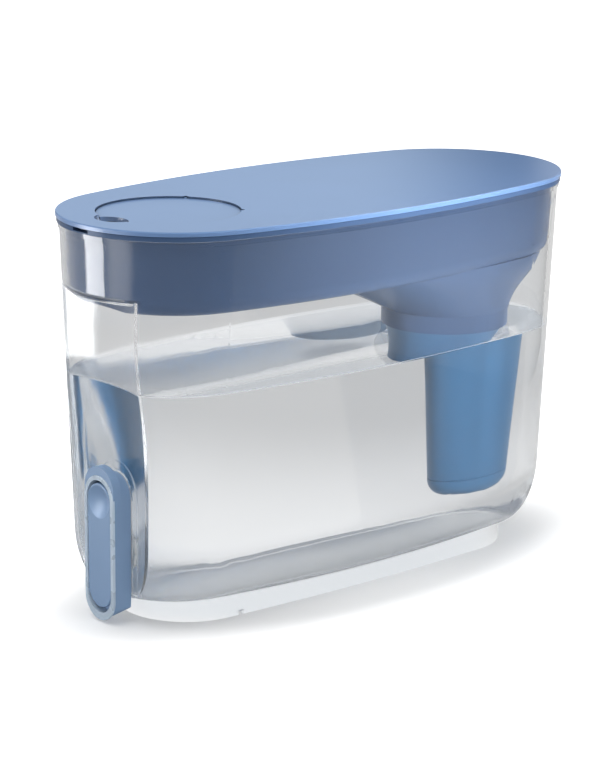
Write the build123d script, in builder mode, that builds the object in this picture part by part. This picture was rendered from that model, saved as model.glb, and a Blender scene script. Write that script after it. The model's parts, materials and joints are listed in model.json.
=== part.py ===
from build123d import *

import math
import os

os.makedirs("parts", exist_ok=True)

# Frame: +Z is up, the tap faces -Y, and the origin is on the floor under the middle of the lid.

# Lid plate, which gives the plan outline
LID_LENGTH = 380.0
LID_WIDTH = 175.0
LID_END_ROUNDNESS = 0.873
LID_THICKNESS = 2.9
LID_EDGE_ROUND = 0.9
LID_SKIRT_DEPTH = 5.0
LID_SKIRT_WALL = 1.6
LID_SKIRT_CLEARANCE = 1.0

# Seating gaps
SEAT_GAP = 0.3

# Clear tank
TANK_HEIGHT = 248.9
TANK_WALL = 2.8
TANK_FLOOR = 3.0
RIM_INSET = 2.2
RIM_BEAD = 0.8
RIM_BEAD_HEIGHT = 3.0
END_DRAFT = 1.5
SIDE_DRAFT = 6.0
ROUNDNESS_GAIN = 0.000188
SHOULDER_HEIGHT = 52.0
FOOT_HEIGHT = 16.0
END_TUCK = 19.7
SIDE_TUCK = 4.2
RADIUS_TUCK = 8.9

# Ring foot under the tank
FOOT_END_STEP = 37.5
FOOT_SIDE_STEP = 39.5
FOOT_END_ROUNDNESS = 0.921
FOOT_WALL = 2.6
FOOT_NOTCH_WIDTH = 4.0
FOOT_NOTCH_HEIGHT = 2.5
FOOT_NOTCH_SETBACK = 90.0

# Hollow in the front of the tank, behind which the tap stands
RECESS_FAR_BELOW = -20.0
RECESS_TOP = 207.5
RECESS_LIP_ROUND = 5.0
RECESS_FOOT_SETBACK = 26.6
RECESS_TAP_SETBACK = 25.7
RECESS_MID_SETBACK = 20.5
RECESS_TOP_SETBACK = 17.5
RECESS_TAP_HEIGHT = 105.0
RECESS_MID_HEIGHT = 152.0
RECESS_FOOT_RADIUS = 105.0
RECESS_TAP_RADIUS = 112.0
RECESS_MID_RADIUS = 150.0
RECESS_TOP_RADIUS = 170.0

# Pad on the tank wall where the tap is clamped
PAD_SETBACK = 27.5
PAD_THICKNESS = 3.0
PAD_MARGIN = 2.0
PAD_BOSS_MARGIN = 5.0
SHANK_HOLE_CLEARANCE = 0.3

# Reservoir that hangs in the tank
FLANGE_THICKNESS = 3.0
FLANGE_INSET = 0.6
TRAY_WALL = 2.2
TRAY_FLOOR = 2.2
TRAY_GAP = 0.8
TRAY_BOTTOM = 201.0
TRAY_BOTTOM_ROUND = 12.0
TRAY_STEP_GAP = 1.5
FINGER_NOTCH_WIDTH = 15.0
FINGER_NOTCH_DEPTH = 6.0
FINGER_NOTCH_HEIGHT = 2.2

# Funnel from the tray down to the filter collar
FILTER_FROM_REAR = 77.0
FUNNEL_TOP = 204.0
FUNNEL_TOP_FRONT_FROM_REAR = 218.0
FUNNEL_TOP_REAR_FROM_REAR = 13.5
FUNNEL_TOP_SIDE_STEP = 17.0
FUNNEL_UPPER = 189.0
FUNNEL_UPPER_FRONT_FROM_REAR = 178.0
FUNNEL_UPPER_REAR_FROM_REAR = 19.5
FUNNEL_UPPER_WIDTH = 123.0
FUNNEL_LOWER = 174.0
FUNNEL_LOWER_FRONT_FROM_REAR = 143.0
FUNNEL_LOWER_REAR_FROM_REAR = 29.0
FUNNEL_LOWER_WIDTH = 99.0
FUNNEL_BOTTOM = 163.0
FUNNEL_SEAT_RISE = 3.0
END_ROUNDNESS = 0.94
COLLAR_RADIUS = 42.6
COLLAR_WALL = 2.0
COLLAR_BOTTOM = 150.0
SEAT_LEDGE = 2.9
THROAT_STEP = 0.6

# Fill hatch in the lid
HATCH_SETBACK = 68.0
HATCH_RADIUS = 44.8
HATCH_GAP = 0.4
HATCH_THICKNESS = 2.6
HATCH_SINK = 1.2
HATCH_LEDGE = 3.3
HATCH_LEDGE_THICKNESS = 2.0
HATCH_COLLAR_WALL = 1.8
HATCH_COLLAR_DEPTH = 5.5
HINGE_OFFSET = 36.0
HINGE_BELOW_TOP = 0.4
HINGE_PIN_RADIUS = 0.9
HINGE_PIN_LENGTH = 6.0
HINGE_CLEARANCE = 0.08
HINGE_SWEEP_GAP = 1.5
HINGE_NOTCH_REACH = 3.0
HINGE_NOTCH_LENGTH = 4.2
HINGE_NOTCH_BEHIND = 1.2
SCOOP_RADIUS = 9.5
SCOOP_HALF_LENGTH = 14.5
SCOOP_RISE = 1.2
SCOOP_WALL = 1.5
SCOOP_SETBACK = 24.5

# Filter cartridge
FILTER_TOP_RADIUS = 40.1
FILTER_LOW_RADIUS = 32.4
FILTER_WALL = 2.0
FILTER_TAPER_TOP = 152.0
FILTER_SEAM = 52.0
FILTER_BOTTOM = 40.5
FILTER_BOTTOM_ROUND = 11.0
FILTER_BOTTOM_CORE_ROUND = 8.0
FILTER_FLANGE_RADIUS = 42.8
FILTER_FLANGE_THICKNESS = 2.0
SEAL_HEIGHT = 157.5
SEAL_SECTION = 0.62
SEAL_CLEARANCE = 0.1
SEAL_SIDES = 8
SEAL_GROOVE_GAP = 0.05
SEAL_GROOVE_HEIGHT = 1.6
SEAM_CHAMFER = 0.6
CAP_SPIGOT = 5.0
CAP_SPIGOT_WALL = 1.5
CAP_FIT = 0.1
TOP_CAP_RADIUS = 41.5
TOP_CAP_RIM = 1.5
TOP_CAP_THICKNESS = 2.0
TOP_CAP_DOME = 5.0
INLET_SLOTS = 10
INLET_RADIUS = 26.0
OUTLET_SLOTS = 8
OUTLET_RADIUS = 14.0
SLOT_WIDTH = 3.0
SLOT_LENGTH = 10.0
LOOP_RADIUS = 13.0
LOOP_WIDTH = 8.0
LOOP_THICKNESS = 2.4
LOOP_SINK = 0.8
PLEATS = 30
PLEAT_OUTER_RADIUS = 29.0
PLEAT_INNER_RADIUS = 22.5
PLEAT_ROOT_RADIUS = 21.2
MEDIA_TOP = 160.0
CARBON_RADIUS = 20.5
CARBON_BORE = 9.0
CORE_RADIUS = 8.6
CORE_WALL = 1.2
CORE_FOOT_THICKNESS = 1.5
CORE_TOP = 167.0
CORE_SLOT_ROWS = 5
CORE_SLOT_COLUMNS = 4
CORE_SLOT_HEIGHT = 11.0
CORE_SLOT_SPACING = 18.0

# Tap, seen from the front as an upright oblong with round ends
TAP_FRONT_SETBACK = 12.0
TAP_REAR_SETBACK = 26.0
TAP_HALF_WIDTH = 14.8
TAP_BOTTOM = 1.6
TAP_TOP = 95.2
HOOD_TOP = 101.0
HOOD_FRONT_SETBACK = 12.6
HOOD_REAR_SETBACK = 18.5
HOOD_START = 62.0
BODY_INSET = 0.3
BODY_TOP = 95.6
BODY_REAR_BOTTOM = 9.0
BODY_FRONT_BOTTOM = 3.0
BODY_REAR_CORNER = 4.0
BODY_FRONT_CORNER = 13.0
BODY_WALL = 1.7
BODY_BACK = 2.5
BODY_FLOOR_TOP = 9.5
BODY_FLOOR_CORNER = 6.0
FACET_FRONT_SETBACK = 15.0
FACET_FRONT_HEIGHT = 31.0
FACET_REAR_SETBACK = 29.0
FACET_REAR_HEIGHT = 15.0
FACET_SLOPE = 0.067
LINER_RIM = 1.6
LINER_RIM_WIDTH = 2.9
LINER_RIM_BOTTOM = 4.9
LINER_EDGE_ROUND = 0.4
LINER_SLEEVE_WALL = 0.8
LINER_SLEEVE_DEPTH = 5.0
LINER_FIT = 0.1
LEVER_HALF_WIDTH = 11.4
LEVER_BOTTOM = 10.0
LEVER_TOP = 90.2
LEVER_SINK = 0.3
LEVER_THICKNESS = 2.4
LEVER_EDGE_ROUND = 0.7
DIMPLE_RADIUS = 10.6
DIMPLE_DEPTH = 3.2
DIMPLE_WALL = 1.6
DIMPLE_HEIGHT = 78.4
LUG_THICKNESS = 2.5
LUG_INSET = 2.4
LUG_RADIUS = 3.0
PIVOT_SETBACK = 17.0
PIVOT_HEIGHT = 17.0
PIVOT_PIN_RADIUS = 1.2
PIVOT_CLEARANCE = 0.06
PIVOT_PIN_SIDE_GAP = 0.2
VALVE_HEIGHT = 45.0
PUSHER_RADIUS = 1.6
PUSHER_RISE = 0.3

# Valve in the tap's shank
SHANK_RADIUS = 11.0
SHANK_BORE = 7.0
SHANK_END_SETBACK = 44.0
CHAMBER_FRONT_SETBACK = 23.0
BOSS_FRONT_SETBACK = 19.5
BOSS_RADIUS = 9.5
DUCT_HALF_WIDTH = 4.4
DUCT_FRONT_SETBACK = 21.8
DUCT_REAR_SETBACK = 24.8
DUCT_WALL = 1.2
DUCT_TOP = 39.5
STEM_RADIUS = 2.05
STEM_CLEARANCE = 0.08
STEM_HEAD_RADIUS = 3.6
STEM_HEAD_THICKNESS = 1.2
STEM_COLLAR_RADIUS = 4.6
STEM_COLLAR_THICKNESS = 1.0
STEM_COLLAR_GAP = 0.6
STEM_HEAD_GAP = 0.3
SPIDER_FRONT_SETBACK = 34.0
SPIDER_THICKNESS = 1.6
SPIDER_HUB_RADIUS = 3.8
SPIDER_SPOKE_WIDTH = 1.6
SPIDER_SPOKES = 3
PLUG_RADIUS = 9.0
PLUG_THICKNESS = 2.6
PLUG_FIT = 0.05
PLUG_BARB_RADIUS = 3.4
PLUG_BARB_THICKNESS = 1.4
ORING_SECTION = 0.72
ORING_GROOVE_GAP = 0.08
ORING_GROOVE_FRONT_SETBACK = 20.6
SPRING_WIRE_RADIUS = 0.35
SPRING_RADIUS = 3.5
SPRING_TURNS = 5
SPRING_WIRE_SIDES = 6
SPRING_END_GAP = 0.1

# What clamps the tap to the wall
WASHER_RADIUS = 16.5
WASHER_THICKNESS = 1.5
NUT_RADIUS = 16.0
NUT_THICKNESS = 7.0
NUT_RIBS = 12
NUT_RIB_RADIUS = 1.4
THREAD_CLEARANCE = 0.08
GASKET_INSET = 1.0

# Heights and places that follow
FLANGE_BOTTOM = TANK_HEIGHT + SEAT_GAP
FLANGE_TOP = FLANGE_BOTTOM + FLANGE_THICKNESS
LID_BOTTOM = FLANGE_TOP + SEAT_GAP
LID_TOP = LID_BOTTOM + LID_THICKNESS
LID_END_RADIUS = LID_END_ROUNDNESS * LID_WIDTH / 2
RIM_LENGTH = LID_LENGTH - 2 * RIM_INSET
RIM_WIDTH = LID_WIDTH - 2 * RIM_INSET
RIM_END_RADIUS = LID_END_RADIUS - RIM_INSET
RIM_ROUNDNESS = 2 * RIM_END_RADIUS / RIM_WIDTH
FLOOR_TOP = FOOT_HEIGHT + TANK_FLOOR
FOOT_LENGTH = LID_LENGTH - 2 * FOOT_END_STEP
FOOT_WIDTH = LID_WIDTH - 2 * FOOT_SIDE_STEP
FOOT_END_RADIUS = FOOT_END_ROUNDNESS * FOOT_WIDTH / 2
FUNNEL_TOP_WIDTH = LID_WIDTH - 2 * FUNNEL_TOP_SIDE_STEP

# Places that keep their distance from the front or rear end of the lid
FRONT_END = -LID_LENGTH / 2
REAR_END = LID_LENGTH / 2
RECESS_FOOT_Y = FRONT_END + RECESS_FOOT_SETBACK
RECESS_TAP_Y = FRONT_END + RECESS_TAP_SETBACK
RECESS_MID_Y = FRONT_END + RECESS_MID_SETBACK
RECESS_TOP_Y = FRONT_END + RECESS_TOP_SETBACK
PAD_Y = FRONT_END + PAD_SETBACK
FOOT_NOTCH_Y = FRONT_END + FOOT_NOTCH_SETBACK
HATCH_Y = FRONT_END + HATCH_SETBACK
SCOOP_Y = FRONT_END + SCOOP_SETBACK
TAP_FRONT_Y = FRONT_END + TAP_FRONT_SETBACK
TAP_REAR_Y = FRONT_END + TAP_REAR_SETBACK
HOOD_FRONT_Y = FRONT_END + HOOD_FRONT_SETBACK
HOOD_REAR_Y = FRONT_END + HOOD_REAR_SETBACK
FACET_FRONT_Y = FRONT_END + FACET_FRONT_SETBACK
FACET_REAR_Y = FRONT_END + FACET_REAR_SETBACK
PIVOT_Y = FRONT_END + PIVOT_SETBACK
SHANK_END_Y = FRONT_END + SHANK_END_SETBACK
CHAMBER_FRONT_Y = FRONT_END + CHAMBER_FRONT_SETBACK
BOSS_FRONT_Y = FRONT_END + BOSS_FRONT_SETBACK
DUCT_FRONT_Y = FRONT_END + DUCT_FRONT_SETBACK
DUCT_REAR_Y = FRONT_END + DUCT_REAR_SETBACK
SPIDER_FRONT_Y = FRONT_END + SPIDER_FRONT_SETBACK
ORING_GROOVE_FRONT_Y = FRONT_END + ORING_GROOVE_FRONT_SETBACK
FILTER_Y = REAR_END - FILTER_FROM_REAR
FUNNEL_TOP_FRONT_Y = REAR_END - FUNNEL_TOP_FRONT_FROM_REAR
FUNNEL_TOP_REAR_Y = REAR_END - FUNNEL_TOP_REAR_FROM_REAR
FUNNEL_UPPER_FRONT_Y = REAR_END - FUNNEL_UPPER_FRONT_FROM_REAR
FUNNEL_UPPER_REAR_Y = REAR_END - FUNNEL_UPPER_REAR_FROM_REAR
FUNNEL_LOWER_FRONT_Y = REAR_END - FUNNEL_LOWER_FRONT_FROM_REAR
FUNNEL_LOWER_REAR_Y = REAR_END - FUNNEL_LOWER_REAR_FROM_REAR


def bowed_oval(length, width, end_radius, height, centre_y=0.0):
    """Plan outline: two round ends joined by gently bowed sides, on a level plane."""
    half_width = width / 2
    end_centre = length / 2 - end_radius
    bow_radius = half_width**2 + end_centre**2 - end_radius**2
    bow_radius = bow_radius / (2 * (half_width - end_radius))
    join_angle = math.atan2(end_centre, bow_radius - half_width)
    join_x = end_radius * math.cos(join_angle)
    join_y = end_centre + end_radius * math.sin(join_angle)
    rear_join = centre_y + join_y
    front_join = centre_y - join_y
    with BuildSketch(Plane.XY.offset(height)) as section:
        with BuildLine():
            ThreePointArc((join_x, front_join), (half_width, centre_y), (join_x, rear_join))
            ThreePointArc((join_x, rear_join), (0, centre_y + length / 2), (-join_x, rear_join))
            ThreePointArc((-join_x, rear_join), (-half_width, centre_y), (-join_x, front_join))
            ThreePointArc((-join_x, front_join), (0, centre_y - length / 2), (join_x, front_join))
        make_face()
    return section.sketch


def round_section(radius, height, centre_y):
    """Circle in four arcs on a level plane, so that it blends with a bowed oval."""
    reach = radius * math.sqrt(0.5)
    rear = centre_y + reach
    front = centre_y - reach
    with BuildSketch(Plane.XY.offset(height)) as section:
        with BuildLine():
            ThreePointArc((reach, front), (radius, centre_y), (reach, rear))
            ThreePointArc((reach, rear), (0, centre_y + radius), (-reach, rear))
            ThreePointArc((-reach, rear), (-radius, centre_y), (-reach, front))
            ThreePointArc((-reach, front), (0, centre_y - radius), (reach, front))
        make_face()
    return section.sketch


def tank_section(height, floor, inset):
    """Plan outline of the tank wall at a height, moved inwards by inset."""
    depth = TANK_HEIGHT - height
    length = RIM_LENGTH - 2 * depth * math.tan(math.radians(END_DRAFT))
    width = RIM_WIDTH - 2 * depth * math.tan(math.radians(SIDE_DRAFT))
    end_radius = width / 2 * (RIM_ROUNDNESS + depth * ROUNDNESS_GAIN)
    if height < SHOULDER_HEIGHT:
        drop = min(1.0, (SHOULDER_HEIGHT - height) / (SHOULDER_HEIGHT - floor))
        tuck = 1 - math.sqrt(1 - drop**2)
        length = length - 2 * END_TUCK * tuck
        width = width - 2 * SIDE_TUCK * tuck
        end_radius = end_radius - RADIUS_TUCK * tuck
    return bowed_oval(length - 2 * inset, width - 2 * inset, end_radius - inset, height)


def tank_form(floor, top, inset):
    """Solid of the tank: a straight taper above the shoulder and a rounded tuck below it."""
    tuck_angles = (90, 72, 52, 32, 14, 0)
    reach = SHOULDER_HEIGHT - floor
    heights = [SHOULDER_HEIGHT - reach * math.sin(math.radians(a)) for a in tuck_angles]
    with BuildPart() as form:
        loft(sections=[tank_section(h, floor, inset) for h in heights])
        loft(
            sections=[tank_section(h, floor, inset) for h in (SHOULDER_HEIGHT, top)],
            ruled=True,
        )
    return form.part


def recess_form(grow, top):
    """Round-fronted hollow in the front wall, grown outwards from its own surface."""
    stations = (
        (RECESS_FAR_BELOW, RECESS_FOOT_Y, RECESS_FOOT_RADIUS),
        (FOOT_HEIGHT, RECESS_FOOT_Y, RECESS_FOOT_RADIUS),
        (RECESS_TAP_HEIGHT, RECESS_TAP_Y, RECESS_TAP_RADIUS),
        (RECESS_MID_HEIGHT, RECESS_MID_Y, RECESS_MID_RADIUS),
        (top, RECESS_TOP_Y, RECESS_TOP_RADIUS),
    )
    sections = []
    for height, panel_y, radius in stations:
        with BuildSketch(Plane.XY.offset(height)) as section:
            with Locations((0, panel_y - radius)):
                Circle(radius + grow)
        sections.append(section.sketch)
    with BuildPart() as form:
        loft(sections=sections)
    return form.part


def oblong(half_width, bottom, top, y, corner=None):
    """Upright outline at a depth y: a round top, and a bottom with corner rounds."""
    corner = half_width if corner is None else corner
    arch_z = top - half_width
    low_z = bottom + corner
    flat = half_width - corner
    diagonal = math.sqrt(0.5)
    with BuildSketch(Plane.XZ.offset(-y)) as section:
        with BuildLine():
            ThreePointArc((half_width, arch_z), (0, top), (-half_width, arch_z))
            Line((-half_width, arch_z), (-half_width, low_z))
            if flat > 0:
                corner_z = low_z - corner * diagonal
                corner_x = flat + corner * diagonal
                ThreePointArc((-half_width, low_z), (-corner_x, corner_z), (-flat, bottom))
                Line((-flat, bottom), (flat, bottom))
                ThreePointArc((flat, bottom), (corner_x, corner_z), (half_width, low_z))
            else:
                ThreePointArc((-half_width, low_z), (0, bottom), (half_width, low_z))
            Line((half_width, low_z), (half_width, arch_z))
        make_face()
    return section.sketch


def disc(radius, y, height=VALVE_HEIGHT):
    """Circle on the valve axis, in an upright plane at a depth y."""
    with BuildSketch(Plane.XZ.offset(-y)) as section:
        with Locations((0, height)):
            Circle(radius)
    return section.sketch


def spindle(radius, half_length, height, y):
    """Eye-shaped solid along X, used for the finger scoop."""
    with BuildPart() as form:
        with BuildSketch(Plane((0, y, height))):
            with BuildLine():
                ThreePointArc((-half_length, 0), (0, radius), (half_length, 0))
                Line((half_length, 0), (-half_length, 0))
            make_face()
        revolve(axis=Axis((0, y, height), (1, 0, 0)))
    return form.part


def upright_slice():
    """Working plane through the filter's axis, with the radius to the right and height up."""
    return Plane.XZ.offset(-FILTER_Y)


def arc_drop(radius, rise, reach):
    """Fall of a shallow dome, of a given edge radius and rise, at a distance from its middle."""
    curvature_radius = (radius**2 + rise**2) / (2 * rise)
    return curvature_radius - math.sqrt(curvature_radius**2 - reach**2)


# Clear tank with the ring foot
tank_outside = tank_form(FOOT_HEIGHT, TANK_HEIGHT, 0.0)
tank_inside = tank_form(FLOOR_TOP, TANK_HEIGHT + 1, TANK_WALL)
recess = recess_form(0.0, RECESS_TOP)
recess_wall = recess_form(TANK_WALL, RECESS_TOP + TANK_WALL)
pad_half_width = TAP_HALF_WIDTH + PAD_MARGIN
pad_top = TAP_TOP + PAD_MARGIN
boss_half_width = pad_half_width + PAD_BOSS_MARGIN
boss_top = pad_top + PAD_BOSS_MARGIN

with BuildPart() as tank_cavity:
    add(tank_inside)
    add(recess_wall, mode=Mode.SUBTRACT)
    extrude(
        oblong(boss_half_width, FLOOR_TOP - boss_half_width, boss_top, PAD_Y + PAD_THICKNESS),
        amount=2 * boss_half_width,
        mode=Mode.SUBTRACT,
    )

with BuildPart() as tank:
    add(tank_outside)
    add(recess, mode=Mode.SUBTRACT)
    lip = tank.faces().filter_by(Axis.Z).sort_by(lambda f: abs(f.center().Z - RECESS_TOP))[0]
    lip_front = lip.edges().sort_by(Axis.Y)[0]
    fillet(lip_front, RECESS_LIP_ROUND)
    extrude(
        bowed_oval(
            RIM_LENGTH + 2 * RIM_BEAD,
            RIM_WIDTH + 2 * RIM_BEAD,
            RIM_END_RADIUS + RIM_BEAD,
            TANK_HEIGHT - RIM_BEAD_HEIGHT,
        ),
        amount=RIM_BEAD_HEIGHT,
    )
    extrude(bowed_oval(FOOT_LENGTH, FOOT_WIDTH, FOOT_END_RADIUS, 0.0), amount=FLOOR_TOP)
    extrude(
        bowed_oval(
            FOOT_LENGTH - 2 * FOOT_WALL,
            FOOT_WIDTH - 2 * FOOT_WALL,
            FOOT_END_RADIUS - FOOT_WALL,
            0.0,
        ),
        amount=FOOT_HEIGHT,
        mode=Mode.SUBTRACT,
    )
    with Locations((0, FOOT_NOTCH_Y, 0)):
        Box(2 * FOOT_WIDTH, FOOT_NOTCH_WIDTH, 2 * FOOT_NOTCH_HEIGHT, mode=Mode.SUBTRACT)
    add(tank_cavity.part, mode=Mode.SUBTRACT)
    extrude(
        oblong(pad_half_width, BODY_REAR_BOTTOM - PAD_MARGIN, pad_top, PAD_Y),
        amount=pad_half_width,
        mode=Mode.SUBTRACT,
    )
    extrude(
        disc(SHANK_RADIUS + SHANK_HOLE_CLEARANCE, PAD_Y + 2 * PAD_THICKNESS),
        amount=3 * PAD_THICKNESS,
        mode=Mode.SUBTRACT,
    )
tank.part.label = "tank"
export_step(tank.part, "parts/tank.step")


# Reservoir: tray, funnel and filter collar in one moulding
tray_outside_inset = TANK_WALL + TRAY_GAP
tray_inside_inset = tray_outside_inset + TRAY_WALL
tray_floor_top = TRAY_BOTTOM + TRAY_FLOOR
ledge_height = FUNNEL_BOTTOM + FUNNEL_SEAT_RISE


def funnel_form(inset, rise):
    """Eccentric funnel: a long oval under the tray that closes down to the collar."""
    stations = (
        (FUNNEL_TOP, FUNNEL_TOP_FRONT_Y, FUNNEL_TOP_REAR_Y, FUNNEL_TOP_WIDTH),
        (FUNNEL_UPPER, FUNNEL_UPPER_FRONT_Y, FUNNEL_UPPER_REAR_Y, FUNNEL_UPPER_WIDTH),
        (FUNNEL_LOWER, FUNNEL_LOWER_FRONT_Y, FUNNEL_LOWER_REAR_Y, FUNNEL_LOWER_WIDTH),
    )
    sections = []
    for height, front_y, rear_y, width in stations:
        length = rear_y - front_y - 2 * inset
        inner_width = width - 2 * inset
        end_radius = END_ROUNDNESS * min(inner_width, length) / 2
        middle_y = (front_y + rear_y) / 2
        sections.append(bowed_oval(length, inner_width, end_radius, height + rise, middle_y))
    throat = COLLAR_RADIUS + (SEAT_LEDGE - COLLAR_WALL if inset > 0 else THROAT_STEP)
    throat_height = ledge_height if inset > 0 else FUNNEL_BOTTOM
    sections.append(round_section(throat, throat_height, FILTER_Y))
    with BuildPart() as form:
        loft(sections=sections)
    return form.part


tray_step = recess_form(TANK_WALL + TRAY_STEP_GAP, RECESS_TOP + TANK_WALL + TRAY_STEP_GAP)
tray_step_inside = recess_form(
    TANK_WALL + TRAY_STEP_GAP + TRAY_WALL,
    RECESS_TOP + TANK_WALL + TRAY_STEP_GAP + TRAY_FLOOR,
)

with BuildPart() as tray_cavity:
    loft(
        sections=[
            tank_section(tray_floor_top, FOOT_HEIGHT, tray_inside_inset),
            tank_section(FLANGE_TOP, FOOT_HEIGHT, tray_inside_inset),
        ],
        ruled=True,
    )
    fillet(tray_cavity.edges().group_by(Axis.Z)[0], TRAY_BOTTOM_ROUND - TRAY_FLOOR)
    add(tray_step_inside, mode=Mode.SUBTRACT)

with BuildPart() as reservoir:
    loft(
        sections=[
            tank_section(TRAY_BOTTOM, FOOT_HEIGHT, tray_outside_inset),
            tank_section(FLANGE_TOP, FOOT_HEIGHT, tray_outside_inset),
        ],
        ruled=True,
    )
    fillet(reservoir.edges().group_by(Axis.Z)[0], TRAY_BOTTOM_ROUND)
    add(tray_step, mode=Mode.SUBTRACT)
    extrude(
        bowed_oval(
            LID_LENGTH - 2 * FLANGE_INSET,
            LID_WIDTH - 2 * FLANGE_INSET,
            LID_END_RADIUS - FLANGE_INSET,
            FLANGE_BOTTOM,
        ),
        amount=FLANGE_THICKNESS,
    )
    add(funnel_form(0.0, 0.0))
    with Locations((0, FILTER_Y, COLLAR_BOTTOM)):
        Cylinder(
            COLLAR_RADIUS,
            ledge_height - COLLAR_BOTTOM,
            align=(Align.CENTER, Align.CENTER, Align.MIN),
        )
    add(tray_cavity.part, mode=Mode.SUBTRACT)
    add(funnel_form(TRAY_WALL, TRAY_FLOOR), mode=Mode.SUBTRACT)
    with Locations((0, FILTER_Y, COLLAR_BOTTOM)):
        Cylinder(
            COLLAR_RADIUS - COLLAR_WALL,
            2 * (ledge_height - COLLAR_BOTTOM),
            align=(Align.CENTER, Align.CENTER, Align.CENTER),
            mode=Mode.SUBTRACT,
        )
    with Locations((0, FRONT_END, FLANGE_TOP)):
        Box(
            FINGER_NOTCH_WIDTH,
            2 * FINGER_NOTCH_DEPTH,
            2 * FINGER_NOTCH_HEIGHT,
            mode=Mode.SUBTRACT,
        )
reservoir.part.label = "reservoir"
export_step(reservoir.part, "parts/reservoir.step")


# Lid plate with its locating skirt, hatch seat and finger scoop
hatch_top = LID_TOP - HATCH_SINK
hatch_bottom = hatch_top - HATCH_THICKNESS
ledge_top = hatch_bottom - SEAT_GAP
hatch_hole = HATCH_RADIUS + HATCH_GAP
hinge_y = HATCH_Y + HINGE_OFFSET
hinge_z = hatch_top - HINGE_BELOW_TOP
hinge_edge_x = math.sqrt(HATCH_RADIUS**2 - HINGE_OFFSET**2)
scoop_z = LID_TOP + SCOOP_RISE
skirt_inset = tray_inside_inset + LID_SKIRT_CLEARANCE
scoop_hollow = spindle(SCOOP_RADIUS, SCOOP_HALF_LENGTH, scoop_z, SCOOP_Y)

with BuildPart() as scoop_shell:
    add(spindle(SCOOP_RADIUS + SCOOP_WALL, SCOOP_HALF_LENGTH + SCOOP_WALL, scoop_z, SCOOP_Y))
    with Locations((0, HATCH_Y, ledge_top)):
        Cylinder(
            hatch_hole,
            2 * HATCH_COLLAR_DEPTH + LID_THICKNESS,
            align=(Align.CENTER, Align.CENTER, Align.MIN),
            mode=Mode.SUBTRACT,
        )
    with Locations((0, SCOOP_Y, LID_TOP)):
        Box(
            LID_WIDTH,
            LID_WIDTH,
            LID_WIDTH,
            align=(Align.CENTER, Align.CENTER, Align.MIN),
            mode=Mode.SUBTRACT,
        )

with BuildPart() as lid_plate:
    extrude(bowed_oval(LID_LENGTH, LID_WIDTH, LID_END_RADIUS, LID_BOTTOM), amount=LID_THICKNESS)
    fillet(lid_plate.edges().group_by(Axis.Z)[-1], LID_EDGE_ROUND)
    extrude(tank_section(LID_BOTTOM, FOOT_HEIGHT, skirt_inset), amount=-LID_SKIRT_DEPTH)
    extrude(
        tank_section(LID_BOTTOM, FOOT_HEIGHT, skirt_inset + LID_SKIRT_WALL),
        amount=-LID_SKIRT_DEPTH,
        mode=Mode.SUBTRACT,
    )
    with Locations((0, HATCH_Y, LID_BOTTOM)):
        Cylinder(
            hatch_hole + HATCH_COLLAR_WALL,
            HATCH_COLLAR_DEPTH,
            align=(Align.CENTER, Align.CENTER, Align.MAX),
        )
    with Locations((0, HATCH_Y, LID_BOTTOM - HATCH_COLLAR_DEPTH)):
        Cylinder(
            hatch_hole,
            LID_THICKNESS + HATCH_COLLAR_DEPTH,
            align=(Align.CENTER, Align.CENTER, Align.MIN),
            mode=Mode.SUBTRACT,
        )
    with BuildSketch(Plane.XY.offset(ledge_top)):
        with Locations((0, HATCH_Y)):
            Circle(hatch_hole + HATCH_COLLAR_WALL / 2)
            Circle(hatch_hole - HATCH_LEDGE, mode=Mode.SUBTRACT)
        with Locations((0, hinge_y - HINGE_SWEEP_GAP)):
            Rectangle(
                2 * hatch_hole,
                2 * hatch_hole,
                align=(Align.CENTER, Align.MIN),
                mode=Mode.SUBTRACT,
            )
    extrude(amount=-HATCH_LEDGE_THICKNESS)
    add(scoop_shell.part)
    add(scoop_hollow, mode=Mode.SUBTRACT)
    with Locations(Plane((0, hinge_y, hinge_z), x_dir=(0, 1, 0), z_dir=(1, 0, 0))):
        Cylinder(
            HINGE_PIN_RADIUS + HINGE_CLEARANCE,
            2 * (hinge_edge_x + HINGE_PIN_LENGTH + HATCH_GAP),
            mode=Mode.SUBTRACT,
        )
    with Locations((0, hinge_y + HINGE_NOTCH_BEHIND, hinge_z)):
        Box(
            2 * (hinge_edge_x + HINGE_NOTCH_REACH),
            HINGE_NOTCH_LENGTH,
            LID_THICKNESS,
            align=(Align.CENTER, Align.MAX, Align.MIN),
            mode=Mode.SUBTRACT,
        )
lid_plate.part.label = "lid_plate"
export_step(lid_plate.part, "parts/lid_plate.step")

with BuildPart() as fill_hatch:
    with BuildSketch(Plane.XY.offset(hatch_bottom)):
        with Locations((0, HATCH_Y)):
            Circle(HATCH_RADIUS)
    extrude(amount=HATCH_THICKNESS)
    add(scoop_hollow, mode=Mode.SUBTRACT)
    with Locations(Plane((0, hinge_y, hinge_z), x_dir=(0, 1, 0), z_dir=(1, 0, 0))):
        Cylinder(HINGE_PIN_RADIUS, 2 * (hinge_edge_x + HINGE_PIN_LENGTH))
    with Locations((0, hinge_y, hatch_top)):
        Box(
            2 * hinge_edge_x,
            HATCH_RADIUS,
            HATCH_THICKNESS,
            align=(Align.CENTER, Align.CENTER, Align.MIN),
            mode=Mode.SUBTRACT,
        )
fill_hatch.part.label = "fill_hatch"
export_step(fill_hatch.part, "parts/fill_hatch.step")


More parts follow.
